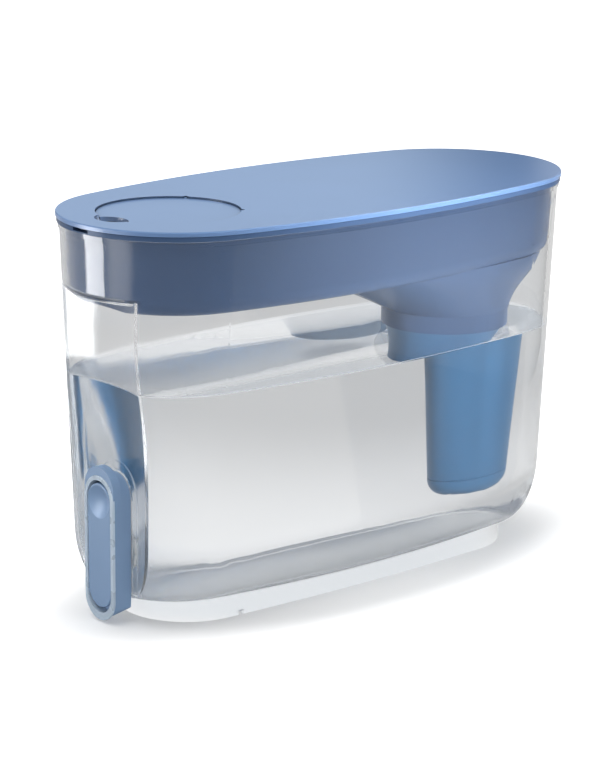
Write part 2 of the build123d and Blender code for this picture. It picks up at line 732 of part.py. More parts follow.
# Filter cartridge, built round its own upright axis
filter_axis = Axis((0, FILTER_Y, 0), (0, 0, 1))
flange_low = ledge_height + SEAT_GAP
flange_high = flange_low + FILTER_FLANGE_THICKNESS
filter_taper = (FILTER_TOP_RADIUS - FILTER_LOW_RADIUS) / (FILTER_TAPER_TOP - FILTER_SEAM)
seal_centre = COLLAR_RADIUS - COLLAR_WALL - SEAL_CLEARANCE - SEAL_SECTION
groove_floor = seal_centre - SEAL_SECTION - SEAL_GROOVE_GAP
groove_low = SEAL_HEIGHT - SEAL_GROOVE_HEIGHT / 2
groove_high = SEAL_HEIGHT + SEAL_GROOVE_HEIGHT / 2
body_bore_top = FILTER_TOP_RADIUS - FILTER_WALL
body_bore_low = FILTER_LOW_RADIUS - FILTER_WALL


with BuildPart() as filter_body:
    with BuildSketch(upright_slice()):
        with BuildLine():
            Polyline(
                (body_bore_low, FILTER_SEAM),
                (FILTER_LOW_RADIUS - SEAM_CHAMFER, FILTER_SEAM),
                (FILTER_LOW_RADIUS + SEAM_CHAMFER * filter_taper, FILTER_SEAM + SEAM_CHAMFER),
                (FILTER_TOP_RADIUS, FILTER_TAPER_TOP),
                (FILTER_TOP_RADIUS, groove_low),
                (groove_floor, groove_low),
                (groove_floor, groove_high),
                (FILTER_TOP_RADIUS, groove_high),
                (FILTER_TOP_RADIUS, flange_low),
                (FILTER_FLANGE_RADIUS, flange_low),
                (FILTER_FLANGE_RADIUS, flange_high),
                (body_bore_top, flange_high),
                (body_bore_top, FILTER_TAPER_TOP),
                close=True,
            )
        make_face()
    revolve(axis=filter_axis)
filter_body.part.label = "filter_body"
export_step(filter_body.part, "parts/filter_body.step")

with BuildPart() as filter_seal:
    with BuildSketch(upright_slice()):
        with Locations((seal_centre, SEAL_HEIGHT)):
            RegularPolygon(SEAL_SECTION, SEAL_SIDES)
    revolve(axis=filter_axis)
filter_seal.part.label = "filter_seal"
export_step(filter_seal.part, "parts/filter_seal.step")

cap_spigot_radius = body_bore_top - CAP_FIT
cap_rim_top = flange_high + TOP_CAP_RIM
dome_top = flange_high + TOP_CAP_THICKNESS + TOP_CAP_DOME
dome_base = dome_top - TOP_CAP_DOME
dome_inner_radius = cap_spigot_radius - CAP_SPIGOT_WALL
loop_height = dome_top - TOP_CAP_THICKNESS + LOOP_SINK


with BuildPart() as filter_top_cap:
    with BuildSketch(upright_slice()):
        with BuildLine():
            Polyline(
                (dome_inner_radius, dome_base - TOP_CAP_THICKNESS),
                (dome_inner_radius, flange_high - CAP_SPIGOT),
                (cap_spigot_radius, flange_high - CAP_SPIGOT),
                (cap_spigot_radius, flange_high),
                (TOP_CAP_RADIUS, flange_high),
                (TOP_CAP_RADIUS, cap_rim_top),
                (cap_spigot_radius, dome_base),
            )
            ThreePointArc(
                (cap_spigot_radius, dome_base),
                (
                    cap_spigot_radius / 2,
                    dome_top - arc_drop(cap_spigot_radius, TOP_CAP_DOME, cap_spigot_radius / 2),
                ),
                (0, dome_top),
            )
            Line((0, dome_top), (0, dome_top - TOP_CAP_THICKNESS))
            ThreePointArc(
                (0, dome_top - TOP_CAP_THICKNESS),
                (
                    dome_inner_radius / 2,
                    dome_top
                    - TOP_CAP_THICKNESS
                    - arc_drop(dome_inner_radius, TOP_CAP_DOME, dome_inner_radius / 2),
                ),
                (dome_inner_radius, dome_base - TOP_CAP_THICKNESS),
            )
        make_face()
    revolve(axis=filter_axis)
    with Locations((0, FILTER_Y, dome_base)):
        with PolarLocations(INLET_RADIUS, INLET_SLOTS):
            Box(SLOT_LENGTH, SLOT_WIDTH, 4 * TOP_CAP_DOME, mode=Mode.SUBTRACT)
    with BuildSketch(upright_slice()):
        with Locations((0, loop_height)):
            Circle(LOOP_RADIUS + LOOP_THICKNESS / 2)
            Circle(LOOP_RADIUS - LOOP_THICKNESS / 2, mode=Mode.SUBTRACT)
            Rectangle(
                3 * LOOP_RADIUS,
                3 * LOOP_RADIUS,
                align=(Align.CENTER, Align.MAX),
                mode=Mode.SUBTRACT,
            )
    extrude(amount=LOOP_WIDTH / 2, both=True)
filter_top_cap.part.label = "filter_top_cap"
export_step(filter_top_cap.part, "parts/filter_top_cap.step")

bottom_spigot_radius = body_bore_low - CAP_FIT
bottom_bore_radius = bottom_spigot_radius - CAP_SPIGOT_WALL
corner_radius = FILTER_LOW_RADIUS - FILTER_BOTTOM_ROUND
corner_height = FILTER_BOTTOM + FILTER_BOTTOM_ROUND
inner_corner_radius = bottom_bore_radius - FILTER_BOTTOM_CORE_ROUND
inner_floor = FILTER_BOTTOM + FILTER_WALL
inner_corner_height = inner_floor + FILTER_BOTTOM_CORE_ROUND
core_foot_bottom = FILTER_SEAM + CAP_SPIGOT
outer_diagonal = FILTER_BOTTOM_ROUND * math.sqrt(0.5)
inner_diagonal = FILTER_BOTTOM_CORE_ROUND * math.sqrt(0.5)

with BuildPart() as filter_bottom_cap:
    with BuildSketch(upright_slice()):
        with BuildLine():
            Line((0, inner_floor), (0, FILTER_BOTTOM))
            Line((0, FILTER_BOTTOM), (corner_radius, FILTER_BOTTOM))
            ThreePointArc(
                (corner_radius, FILTER_BOTTOM),
                (corner_radius + outer_diagonal, corner_height - outer_diagonal),
                (FILTER_LOW_RADIUS, corner_height),
            )
            Polyline(
                (FILTER_LOW_RADIUS, corner_height),
                (FILTER_LOW_RADIUS - SEAM_CHAMFER, FILTER_SEAM),
                (bottom_spigot_radius, FILTER_SEAM),
                (bottom_spigot_radius, core_foot_bottom),
                (bottom_bore_radius, core_foot_bottom),
                (bottom_bore_radius, inner_corner_height),
            )
            ThreePointArc(
                (bottom_bore_radius, inner_corner_height),
                (inner_corner_radius + inner_diagonal, inner_corner_height - inner_diagonal),
                (inner_corner_radius, inner_floor),
            )
            Line((inner_corner_radius, inner_floor), (0, inner_floor))
        make_face()
    revolve(axis=filter_axis)
    with Locations((0, FILTER_Y, FILTER_BOTTOM)):
        with PolarLocations(OUTLET_RADIUS, OUTLET_SLOTS):
            Box(SLOT_LENGTH, SLOT_WIDTH, 4 * FILTER_WALL, mode=Mode.SUBTRACT)
filter_bottom_cap.part.label = "filter_bottom_cap"
export_step(filter_bottom_cap.part, "parts/filter_bottom_cap.step")

media_bottom = core_foot_bottom + CORE_FOOT_THICKNESS
core_bore = CORE_RADIUS - CORE_WALL

with BuildPart() as filter_core:
    with Locations((0, FILTER_Y, core_foot_bottom)):
        Cylinder(
            bottom_spigot_radius,
            CORE_FOOT_THICKNESS,
            align=(Align.CENTER, Align.CENTER, Align.MIN),
        )
        Cylinder(
            CORE_RADIUS,
            CORE_TOP - core_foot_bottom,
            align=(Align.CENTER, Align.CENTER, Align.MIN),
        )
    with Locations((0, FILTER_Y, core_foot_bottom)):
        Cylinder(
            core_bore,
            CORE_TOP - core_foot_bottom - CORE_WALL,
            align=(Align.CENTER, Align.CENTER, Align.MIN),
            mode=Mode.SUBTRACT,
        )
    with Locations((0, FILTER_Y, (media_bottom + MEDIA_TOP) / 2)):
        for row in range(CORE_SLOT_ROWS):
            rise = (row - (CORE_SLOT_ROWS - 1) / 2) * CORE_SLOT_SPACING
            with Locations((0, 0, rise)):
                with PolarLocations(CORE_RADIUS, CORE_SLOT_COLUMNS):
                    Box(4 * CORE_WALL, SLOT_WIDTH, CORE_SLOT_HEIGHT, mode=Mode.SUBTRACT)
filter_core.part.label = "filter_core"
export_step(filter_core.part, "parts/filter_core.step")

with BuildPart() as carbon_block:
    with BuildSketch(Plane.XY.offset(media_bottom)):
        with Locations((0, FILTER_Y)):
            Circle(CARBON_RADIUS)
            Circle(CARBON_BORE, mode=Mode.SUBTRACT)
    extrude(amount=MEDIA_TOP - media_bottom)
carbon_block.part.label = "carbon_block"
export_step(carbon_block.part, "parts/carbon_block.step")

pleat_points = []
for fold in range(2 * PLEATS):
    fold_radius = PLEAT_OUTER_RADIUS if fold % 2 == 0 else PLEAT_INNER_RADIUS
    fold_angle = math.pi * fold / PLEATS
    pleat_points.append(
        (fold_radius * math.cos(fold_angle), FILTER_Y + fold_radius * math.sin(fold_angle))
    )

with BuildPart() as pleated_media:
    with BuildSketch(Plane.XY.offset(media_bottom)):
        with BuildLine():
            Polyline(*pleat_points, close=True)
        make_face()
        with Locations((0, FILTER_Y)):
            Circle(PLEAT_ROOT_RADIUS, mode=Mode.SUBTRACT)
    extrude(amount=MEDIA_TOP - media_bottom)
pleated_media.part.label = "pleated_media"
export_step(pleated_media.part, "parts/pleated_media.step")


# Tap body: hooded shell with the valve boss, the outlet duct and the threaded shank
body_front_y = TAP_FRONT_Y + LINER_RIM
body_half_width = TAP_HALF_WIDTH - BODY_INSET
cavity_half_width = body_half_width - BODY_WALL
cavity_back_y = TAP_REAR_Y - BODY_BACK
sleeve_half_width = cavity_half_width - LINER_FIT
rim_opening_half_width = TAP_HALF_WIDTH - LINER_RIM_WIDTH
rim_opening_bottom = TAP_BOTTOM + LINER_RIM_BOTTOM
rim_opening_top = TAP_TOP - LINER_RIM_WIDTH
sleeve_bottom = rim_opening_bottom - LINER_SLEEVE_WALL
sleeve_top = rim_opening_top + LINER_SLEEVE_WALL
sleeve_end_y = body_front_y + LINER_SLEEVE_DEPTH
front_cavity_y = sleeve_end_y + LINER_FIT
cavity_top = sleeve_top + LINER_FIT
duct_wall_front_y = DUCT_FRONT_Y - DUCT_WALL
spider_rear_y = SPIDER_FRONT_Y + SPIDER_THICKNESS
oring_centre = STEM_RADIUS + STEM_CLEARANCE + ORING_SECTION
oring_groove_radius = oring_centre + ORING_SECTION + ORING_GROOVE_GAP
oring_groove_width = 2 * (ORING_SECTION + ORING_GROOVE_GAP)
stem_bore = STEM_RADIUS + STEM_CLEARANCE
pivot_hole = PIVOT_PIN_RADIUS + PIVOT_CLEARANCE
pivot_plane = Plane((0, PIVOT_Y, PIVOT_HEIGHT), x_dir=(0, 1, 0), z_dir=(1, 0, 0))
pivot_half_length = cavity_half_width + BODY_WALL / 3
facet_run = FACET_REAR_Y - FACET_FRONT_Y
facet_fall = FACET_REAR_HEIGHT - FACET_FRONT_HEIGHT
facet_plane = Plane(
    (body_half_width, FACET_FRONT_Y, FACET_FRONT_HEIGHT),
    x_dir=(0, facet_run, facet_fall),
    z_dir=(facet_run, FACET_SLOPE * facet_fall, -FACET_SLOPE * facet_run),
)

with BuildPart() as facet_cutter:
    with Locations(facet_plane):
        Box(
            4 * TAP_HALF_WIDTH,
            4 * TAP_HALF_WIDTH,
            TAP_HALF_WIDTH,
            align=(Align.CENTER, Align.CENTER, Align.MIN),
        )
    mirror(about=Plane.YZ)

with BuildPart() as tap_body:
    loft(
        sections=[
            oblong(
                body_half_width, BODY_FRONT_BOTTOM, BODY_TOP, body_front_y, BODY_FRONT_CORNER
            ),
            oblong(body_half_width, BODY_REAR_BOTTOM, BODY_TOP, TAP_REAR_Y, BODY_REAR_CORNER),
        ],
        ruled=True,
    )
    extrude(
        oblong(TAP_HALF_WIDTH, HOOD_START, HOOD_TOP, HOOD_REAR_Y),
        amount=HOOD_REAR_Y - HOOD_FRONT_Y,
    )
    extrude(
        oblong(
            TAP_HALF_WIDTH + LINER_FIT,
            TAP_BOTTOM - LINER_FIT,
            TAP_TOP + LINER_FIT,
            body_front_y,
        ),
        amount=2 * LINER_RIM,
        mode=Mode.SUBTRACT,
    )
    extrude(
        oblong(cavity_half_width, sleeve_bottom - LINER_FIT, cavity_top, front_cavity_y),
        amount=LINER_SLEEVE_DEPTH + 2 * LINER_FIT,
        mode=Mode.SUBTRACT,
    )
    extrude(
        oblong(
            cavity_half_width, BODY_FLOOR_TOP, cavity_top, cavity_back_y, BODY_FLOOR_CORNER
        ),
        amount=cavity_back_y - front_cavity_y,
        mode=Mode.SUBTRACT,
    )
    add(facet_cutter.part, mode=Mode.SUBTRACT)
    extrude(disc(BOSS_RADIUS, cavity_back_y), amount=cavity_back_y - BOSS_FRONT_Y)
    with Locations((0, duct_wall_front_y, BODY_FLOOR_TOP - BODY_FLOOR_CORNER / 3)):
        Box(
            2 * (DUCT_HALF_WIDTH + DUCT_WALL),
            cavity_back_y - duct_wall_front_y,
            VALVE_HEIGHT - BODY_FLOOR_TOP,
            align=(Align.CENTER, Align.MIN, Align.MIN),
        )
    extrude(disc(SHANK_RADIUS, SHANK_END_Y), amount=SHANK_END_Y - TAP_REAR_Y)
    extrude(
        disc(SHANK_BORE, SHANK_END_Y), amount=SHANK_END_Y - CHAMBER_FRONT_Y, mode=Mode.SUBTRACT
    )
    with Locations((0, DUCT_FRONT_Y, 0)):
        Box(
            2 * DUCT_HALF_WIDTH,
            DUCT_REAR_Y - DUCT_FRONT_Y,
            DUCT_TOP,
            align=(Align.CENTER, Align.MIN, Align.MIN),
            mode=Mode.SUBTRACT,
        )
    extrude(
        disc(oring_groove_radius, ORING_GROOVE_FRONT_Y + oring_groove_width),
        amount=oring_groove_width,
        mode=Mode.SUBTRACT,
    )
    extrude(disc(SPIDER_HUB_RADIUS, spider_rear_y), amount=SPIDER_THICKNESS)
    with Locations(Plane((0, spider_rear_y, VALVE_HEIGHT), x_dir=(1, 0, 0), z_dir=(0, -1, 0))):
        with PolarLocations((STEM_RADIUS + SHANK_RADIUS) / 2, SPIDER_SPOKES, 90):
            Box(
                SHANK_RADIUS - STEM_RADIUS - SPIDER_SPOKE_WIDTH,
                SPIDER_SPOKE_WIDTH,
                SPIDER_THICKNESS,
                align=(Align.CENTER, Align.CENTER, Align.MIN),
            )
    extrude(
        disc(stem_bore, SHANK_END_Y), amount=SHANK_END_Y - BOSS_FRONT_Y, mode=Mode.SUBTRACT
    )
    with Locations(pivot_plane):
        Cylinder(pivot_hole, 2 * pivot_half_length, mode=Mode.SUBTRACT)
tap_body.part.label = "tap_body"
export_step(tap_body.part, "parts/tap_body.step")

# Clear rim that frames the lever, with a short sleeve into the body
with BuildPart() as tap_liner:
    extrude(oblong(TAP_HALF_WIDTH, TAP_BOTTOM, TAP_TOP, body_front_y), amount=LINER_RIM)
    fillet(tap_liner.edges().group_by(Axis.Y)[0], LINER_EDGE_ROUND)
    extrude(
        oblong(sleeve_half_width, sleeve_bottom, sleeve_top, sleeve_end_y),
        amount=LINER_SLEEVE_DEPTH,
    )
    extrude(
        oblong(rim_opening_half_width, rim_opening_bottom, rim_opening_top, sleeve_end_y),
        amount=2 * LINER_SLEEVE_DEPTH,
        mode=Mode.SUBTRACT,
    )
    with Locations(pivot_plane):
        Cylinder(pivot_hole, 2 * TAP_HALF_WIDTH, mode=Mode.SUBTRACT)
tap_liner.part.label = "tap_liner"
export_step(tap_liner.part, "parts/tap_liner.step")

lever_front_y = TAP_FRONT_Y + LEVER_SINK
lever_back_y = lever_front_y + LEVER_THICKNESS
pusher_front_y = lever_back_y + PUSHER_RISE
dimple_sphere = (DIMPLE_RADIUS**2 + DIMPLE_DEPTH**2) / (2 * DIMPLE_DEPTH)
dimple_centre_y = lever_front_y + DIMPLE_DEPTH - dimple_sphere
lug_outer_x = LEVER_HALF_WIDTH - LUG_INSET

with BuildPart() as dimple_bulge:
    with Locations((0, dimple_centre_y, DIMPLE_HEIGHT)):
        Sphere(dimple_sphere + DIMPLE_WALL)
    with Locations((0, lever_back_y, DIMPLE_HEIGHT)):
        Box(
            2 * LEVER_TOP,
            2 * LEVER_TOP,
            2 * LEVER_TOP,
            align=(Align.CENTER, Align.MAX, Align.CENTER),
            mode=Mode.SUBTRACT,
        )

with BuildPart() as tap_lever:
    extrude(
        oblong(LEVER_HALF_WIDTH, LEVER_BOTTOM, LEVER_TOP, lever_back_y), amount=LEVER_THICKNESS
    )
    fillet(tap_lever.edges().group_by(Axis.Y)[0], LEVER_EDGE_ROUND)
    add(dimple_bulge.part)
    with Locations((0, dimple_centre_y, DIMPLE_HEIGHT)):
        Sphere(dimple_sphere, mode=Mode.SUBTRACT)
    for side_x in (lug_outer_x - LUG_THICKNESS, -lug_outer_x):
        with BuildSketch(Plane.YZ.offset(side_x)):
            with Locations((PIVOT_Y, PIVOT_HEIGHT)):
                Circle(LUG_RADIUS)
                Rectangle(
                    PIVOT_Y - lever_back_y,
                    2 * LUG_RADIUS,
                    align=(Align.MAX, Align.CENTER),
                )
                Circle(pivot_hole, mode=Mode.SUBTRACT)
        extrude(amount=LUG_THICKNESS)
    extrude(disc(PUSHER_RADIUS, pusher_front_y), amount=PUSHER_RISE)
tap_lever.part.label = "tap_lever"
export_step(tap_lever.part, "parts/tap_lever.step")

with BuildPart() as lever_pin:
    with Locations(pivot_plane):
        Cylinder(PIVOT_PIN_RADIUS, 2 * (pivot_half_length - PIVOT_PIN_SIDE_GAP))
lever_pin.part.label = "lever_pin"
export_step(lever_pin.part, "parts/lever_pin.step")


# Valve: stem, plug, seal and return spring on one level axis
stem_front_y = pusher_front_y + STEM_HEAD_GAP
stem_head_rear_y = stem_front_y + STEM_HEAD_THICKNESS
collar_front_y = CHAMBER_FRONT_Y + STEM_COLLAR_GAP
collar_rear_y = collar_front_y + STEM_COLLAR_THICKNESS
plug_front_y = SHANK_END_Y + SEAT_GAP
plug_rear_y = plug_front_y + PLUG_THICKNESS
barb_rear_y = plug_rear_y + PLUG_BARB_THICKNESS

with BuildPart() as valve_stem:
    extrude(disc(STEM_RADIUS, barb_rear_y), amount=barb_rear_y - stem_head_rear_y)
    extrude(disc(STEM_HEAD_RADIUS, stem_head_rear_y), amount=STEM_HEAD_THICKNESS)
    extrude(disc(STEM_COLLAR_RADIUS, collar_rear_y), amount=STEM_COLLAR_THICKNESS)
    extrude(disc(PLUG_BARB_RADIUS, barb_rear_y), amount=PLUG_BARB_THICKNESS)
valve_stem.part.label = "valve_stem"
export_step(valve_stem.part, "parts/valve_stem.step")

with BuildPart() as valve_plug:
    extrude(disc(PLUG_RADIUS, plug_rear_y), amount=PLUG_THICKNESS)
    chamfer(valve_plug.edges().group_by(Axis.Y)[-1], PLUG_THICKNESS / 3)
    extrude(
        disc(STEM_RADIUS + PLUG_FIT, plug_rear_y), amount=PLUG_THICKNESS, mode=Mode.SUBTRACT
    )
valve_plug.part.label = "valve_plug"
export_step(valve_plug.part, "parts/valve_plug.step")

oring_y = ORING_GROOVE_FRONT_Y + oring_groove_width / 2

with BuildPart() as stem_seal:
    with BuildSketch(Plane.XY.offset(VALVE_HEIGHT)):
        with Locations((oring_centre, oring_y)):
            RegularPolygon(ORING_SECTION, SEAL_SIDES)
    revolve(axis=Axis((0, oring_y, VALVE_HEIGHT), (0, 1, 0)))
stem_seal.part.label = "stem_seal"
export_step(stem_seal.part, "parts/stem_seal.step")

coil_start_y = collar_rear_y + SPRING_END_GAP + SPRING_WIRE_RADIUS
coil_end_y = SPIDER_FRONT_Y - SPRING_END_GAP - SPRING_WIRE_RADIUS
half_pitch = (coil_end_y - coil_start_y) / (2 * SPRING_TURNS)

with BuildPart() as return_spring:
    with BuildLine() as coil:
        for half_turn in range(2 * SPRING_TURNS):
            side = 1 if half_turn % 2 == 0 else -1
            start_y = coil_start_y + half_turn * half_pitch
            ThreePointArc(
                (side * SPRING_RADIUS, start_y, VALVE_HEIGHT),
                (0, start_y + half_pitch / 2, VALVE_HEIGHT + side * SPRING_RADIUS),
                (-side * SPRING_RADIUS, start_y + half_pitch, VALVE_HEIGHT),
            )
    with BuildSketch(Plane(coil.line @ 0, z_dir=coil.line % 0)):
        RegularPolygon(SPRING_WIRE_RADIUS, SPRING_WIRE_SIDES)
    sweep()
return_spring.part.label = "return_spring"
export_step(return_spring.part, "parts/return_spring.step")


# What clamps the tap through the wall
thread_bore = SHANK_RADIUS + THREAD_CLEARANCE
pad_inner_y = PAD_Y + PAD_THICKNESS
washer_rear_y = pad_inner_y + WASHER_THICKNESS
nut_rear_y = washer_rear_y + NUT_THICKNESS

with BuildPart() as tap_gasket:
    extrude(
        oblong(
            body_half_width - GASKET_INSET,
            BODY_REAR_BOTTOM + GASKET_INSET,
            BODY_TOP - GASKET_INSET,
            PAD_Y,
        ),
        amount=PAD_Y - TAP_REAR_Y,
    )
    extrude(disc(thread_bore, PAD_Y), amount=PAD_Y - TAP_REAR_Y, mode=Mode.SUBTRACT)
tap_gasket.part.label = "tap_gasket"
export_step(tap_gasket.part, "parts/tap_gasket.step")

with BuildPart() as inner_washer:
    extrude(disc(WASHER_RADIUS, washer_rear_y), amount=WASHER_THICKNESS)
    extrude(disc(thread_bore, washer_rear_y), amount=WASHER_THICKNESS, mode=Mode.SUBTRACT)
inner_washer.part.label = "inner_washer"
export_step(inner_washer.part, "parts/inner_washer.step")

with BuildPart() as tap_nut:
    extrude(disc(NUT_RADIUS, nut_rear_y), amount=NUT_THICKNESS)
    with BuildSketch(Plane.XZ.offset(-nut_rear_y)):
        with Locations((0, VALVE_HEIGHT)):
            with PolarLocations(NUT_RADIUS, NUT_RIBS):
                Circle(NUT_RIB_RADIUS)
    extrude(amount=NUT_THICKNESS)
    extrude(disc(thread_bore, nut_rear_y), amount=NUT_THICKNESS, mode=Mode.SUBTRACT)
tap_nut.part.label = "tap_nut"
export_step(tap_nut.part, "parts/tap_nut.step")
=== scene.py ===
"""Looks of a countertop water dispenser: clear tank, hanging reservoir, filter cartridge and lever tap."""

from __future__ import annotations

import json
import logging
import math
from dataclasses import dataclass, field
from enum import Enum
from typing import Callable, Protocol

import bmesh
import bpy
from mathutils import Matrix, Vector

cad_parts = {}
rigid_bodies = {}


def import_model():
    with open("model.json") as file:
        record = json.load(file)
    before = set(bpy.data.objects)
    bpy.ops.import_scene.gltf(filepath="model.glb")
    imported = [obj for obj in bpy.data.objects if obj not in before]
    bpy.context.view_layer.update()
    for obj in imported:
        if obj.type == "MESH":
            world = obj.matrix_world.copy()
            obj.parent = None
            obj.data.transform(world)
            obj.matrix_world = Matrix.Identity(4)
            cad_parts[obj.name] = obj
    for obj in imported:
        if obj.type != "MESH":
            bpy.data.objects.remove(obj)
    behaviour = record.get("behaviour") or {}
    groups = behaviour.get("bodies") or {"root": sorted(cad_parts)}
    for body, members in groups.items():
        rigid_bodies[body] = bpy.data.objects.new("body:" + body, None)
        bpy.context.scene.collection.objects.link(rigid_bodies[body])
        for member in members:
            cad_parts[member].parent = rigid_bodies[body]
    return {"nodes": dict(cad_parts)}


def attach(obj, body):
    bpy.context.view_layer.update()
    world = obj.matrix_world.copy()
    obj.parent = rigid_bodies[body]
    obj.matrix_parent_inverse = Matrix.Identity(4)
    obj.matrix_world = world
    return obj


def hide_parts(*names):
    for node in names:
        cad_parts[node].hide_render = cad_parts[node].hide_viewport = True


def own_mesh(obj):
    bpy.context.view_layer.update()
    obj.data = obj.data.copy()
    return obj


LOG = logging.getLogger("dispenser")
# Light turns many times between the faces of the clear wall before it leaves.
BOUNCES = 48
Colour = tuple[float, float, float]
Point = tuple[float, float, float]
Nodes = dict[str, bpy.types.Object]
Socket = bpy.types.NodeSocket
WHITE: Colour = (1.0, 1.0, 1.0)


class Body(Enum):
    """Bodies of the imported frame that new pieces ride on."""

    TANK = "tank"


class Slot(Enum):
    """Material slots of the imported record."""

    CLEAR = "clear_plastic"
    STEEL = "steel"


class Axis(Enum):
    """Directions of the shared frame."""

    X = "X"
    Y = "Y"
    Z = "Z"


class Coords(Enum):
    """Coordinates that a node tree can measure in."""

    OBJECT = "Object"
    DIRECTION = "Generated"


class Ray(Enum):
    """What a finish can ask about the light ray that meets it."""

    CAMERA = "Is Camera Ray"
    GLOSSY = "Is Glossy Ray"
    TRANSMISSION = "Is Transmission Ray"
    SHADOW = "Is Shadow Ray"
    DEPTH = "Ray Depth"


def rgba(colour: Colour) -> tuple[float, float, float, float]:
    """Adds full cover to a colour, as the colour sockets ask."""
    return (*colour, 1.0)


def scaled(colour: Colour, factor: float) -> Colour:
    """Makes a colour darker or lighter, and never brighter than white."""
    red, green, blue = (min(1.0, part * factor) for part in colour)
    return red, green, blue


class NodeSheet:
    """A node tree with its output, and short ways to place and join nodes."""

    # Sockets of the Mix node that carry its two colours and their mixture.
    FIRST_COLOUR = 6
    SECOND_COLOUR = 7
    MIXED_COLOUR = 2
    # Noise mostly stays between these two values.
    NOISE_LOW = 0.3
    NOISE_HIGH = 0.7
    # A ray has depth 1 after its first bounce and 2 after its second.
    PAST_FIRST_BOUNCE = 1.5

    def __init__(self, tree: bpy.types.NodeTree, output: str) -> None:
        """Empties the tree and gives it its output.

        Args:
            tree: The node tree.
            output: The output node's type, without the ShaderNode prefix.
        """
        self.tree = tree
        self.tree.nodes.clear()
        self.output = self.place(output)

    def place(self, kind: str, **values: object) -> bpy.types.Node:
        """Adds a node and sets its settings or input sockets.

        Args:
            kind: The node's type, without the ShaderNode prefix.
            **values: Settings by attribute name, or socket values with underscores for spaces.

        Returns:
            The new node.
        """
        node = self.tree.nodes.new("ShaderNode" + kind)
        for key, value in values.items():
            if hasattr(node, key):
                setattr(node, key, value)
            else:
                node.inputs[key.replace("_", " ")].default_value = value
        return node

    def join(self, source: Socket, target: Socket) -> None:
        """Links an output socket to an input socket."""
        self.tree.links.new(source, target)

    def show(self, shader: Socket) -> None:
        """Makes a shader the one that the tree gives out."""
        self.join(shader, self.output.inputs["Surface"])

    def coords(self, kind: Coords) -> Socket:
        """Gives the coordinates that a pattern or a fade follows."""
        return self.place("TexCoord").outputs[kind.value]

    def part(self, vector: Socket, axis: Axis) -> Socket:
        """Takes one direction's part of a vector.

        Args:
            vector: Socket with the vector.
            axis: The direction.

        Returns:
            The socket with the part.
        """
        split = self.place("SeparateXYZ")
        self.join(vector, split.inputs[0])
        return split.outputs[axis.value]

    def length(self, vector: Socket) -> Socket:
        """Measures a vector.

        Args:
            vector: Socket with the vector.

        Returns:
            The socket with its length.
        """
        measure = self.place("VectorMath", operation="LENGTH")
        self.join(vector, measure.inputs[0])
        return measure.outputs["Value"]

    def maths(self, operation: str, first: Socket, second: Socket | float = 0.0) -> Socket:
        """Works out a value from a socket and a second socket or a number.

        Args:
            operation: The Math node's operation.
            first: Socket with the first value.
            second: Socket or number for the second, where the operation has one.

        Returns:
            The socket with the result.
        """
        node = self.place("Math", operation=operation)
        self.join(first, node.inputs[0])
        if isinstance(second, float):
            node.inputs[1].default_value = second
        else:
            self.join(second, node.inputs[1])
        return node.outputs[0]

    def ramp(self, value: Socket, start: float, end: float, low: float, high: float) -> Socket:
        """Maps a value to a level that changes smoothly over a stretch.

        Args:
            value: Socket with the value.
            start: Value at which the level is low.
            end: Value at which it is high, above or below the start.
            low: The level before the stretch.
            high: The level past it.

        Returns:
            The socket with the level.
        """
        # A stretch is only mapped upwards, so a falling one is turned round.
        if start > end:
            start, end, low, high = end, start, high, low
        mapped = self.place(
            "MapRange",
            interpolation_type="SMOOTHSTEP",
            From_Min=start,
            From_Max=end,
            To_Min=low,
            To_Max=high,
        )
        self.join(value, mapped.inputs["Value"])
        return mapped.outputs["Result"]

    def noise(self, size: float, detail: float = 3.0) -> Socket:
        """Noise in the object's own coordinates.

        Args:
            size: Rough width of one patch, in metres.
            detail: Octaves of finer noise.

        Returns:
            The socket with the noise's value.
        """
        noise = self.place("TexNoise", Scale=1.0 / size, Detail=detail)
        self.join(self.coords(Coords.OBJECT), noise.inputs["Vector"])
        return noise.outputs["Fac"]

    def uneven(self, size: float, middle: float, spread: float) -> Socket:
        """A value that wanders about a middle in soft patches.

        Args:
            size: Rough width of one patch, in metres.
            middle: The value's middle.
            spread: How far it mostly goes either way.

        Returns:
            The socket with the value.
        """
        low = middle - spread
        rise = 2 * spread / (self.NOISE_HIGH - self.NOISE_LOW)
        steep = self.maths("MULTIPLY", self.noise(size), rise)
        return self.maths("ADD", steep, low - self.NOISE_LOW * rise)

    def bump(self, value: Socket, height: float) -> Socket:
        """Turns a value into surface relief.

        Args:
            value: Socket with the height pattern.
            height: Height of the relief, in metres.

        Returns:
            The socket with the bumped normal.
        """
        relief = self.place("Bump", Strength=1.0, Distance=height)
        self.join(value, relief.inputs["Height"])
        return relief.outputs["Normal"]

    def mottled(self, pattern: Socket, colour: Colour, share: float) -> Socket:
        """A colour that turns a little darker and lighter with a pattern.

        Args:
            pattern: Socket with the pattern.
            colour: The middle colour.
            share: How far it turns either way, as a share of itself.

        Returns:
            The socket with the colour.
        """
        mix = self.place("Mix", data_type="RGBA")
        mix.inputs[self.FIRST_COLOUR].default_value = rgba(scaled(colour, 1 - share))
        mix.inputs[self.SECOND_COLOUR].default_value = rgba(scaled(colour, 1 + share))
        self.join(pattern, mix.inputs[0])
        return mix.outputs[self.MIXED_COLOUR]

    def mixed(self, share: Socket, first: Socket, second: Socket) -> Socket:
        """Mixes two shaders.

        Args:
            share: Socket with the second shader's share, from 0 to 1.
            first: The first shader's socket.
            second: The second shader's socket.

        Returns:
            The socket with the mixture.
        """
        mix = self.place("MixShader")
        self.join(share, mix.inputs["Fac"])
        self.join(first, mix.inputs[1])
        self.join(second, mix.inputs[2])
        return mix.outputs["Shader"]

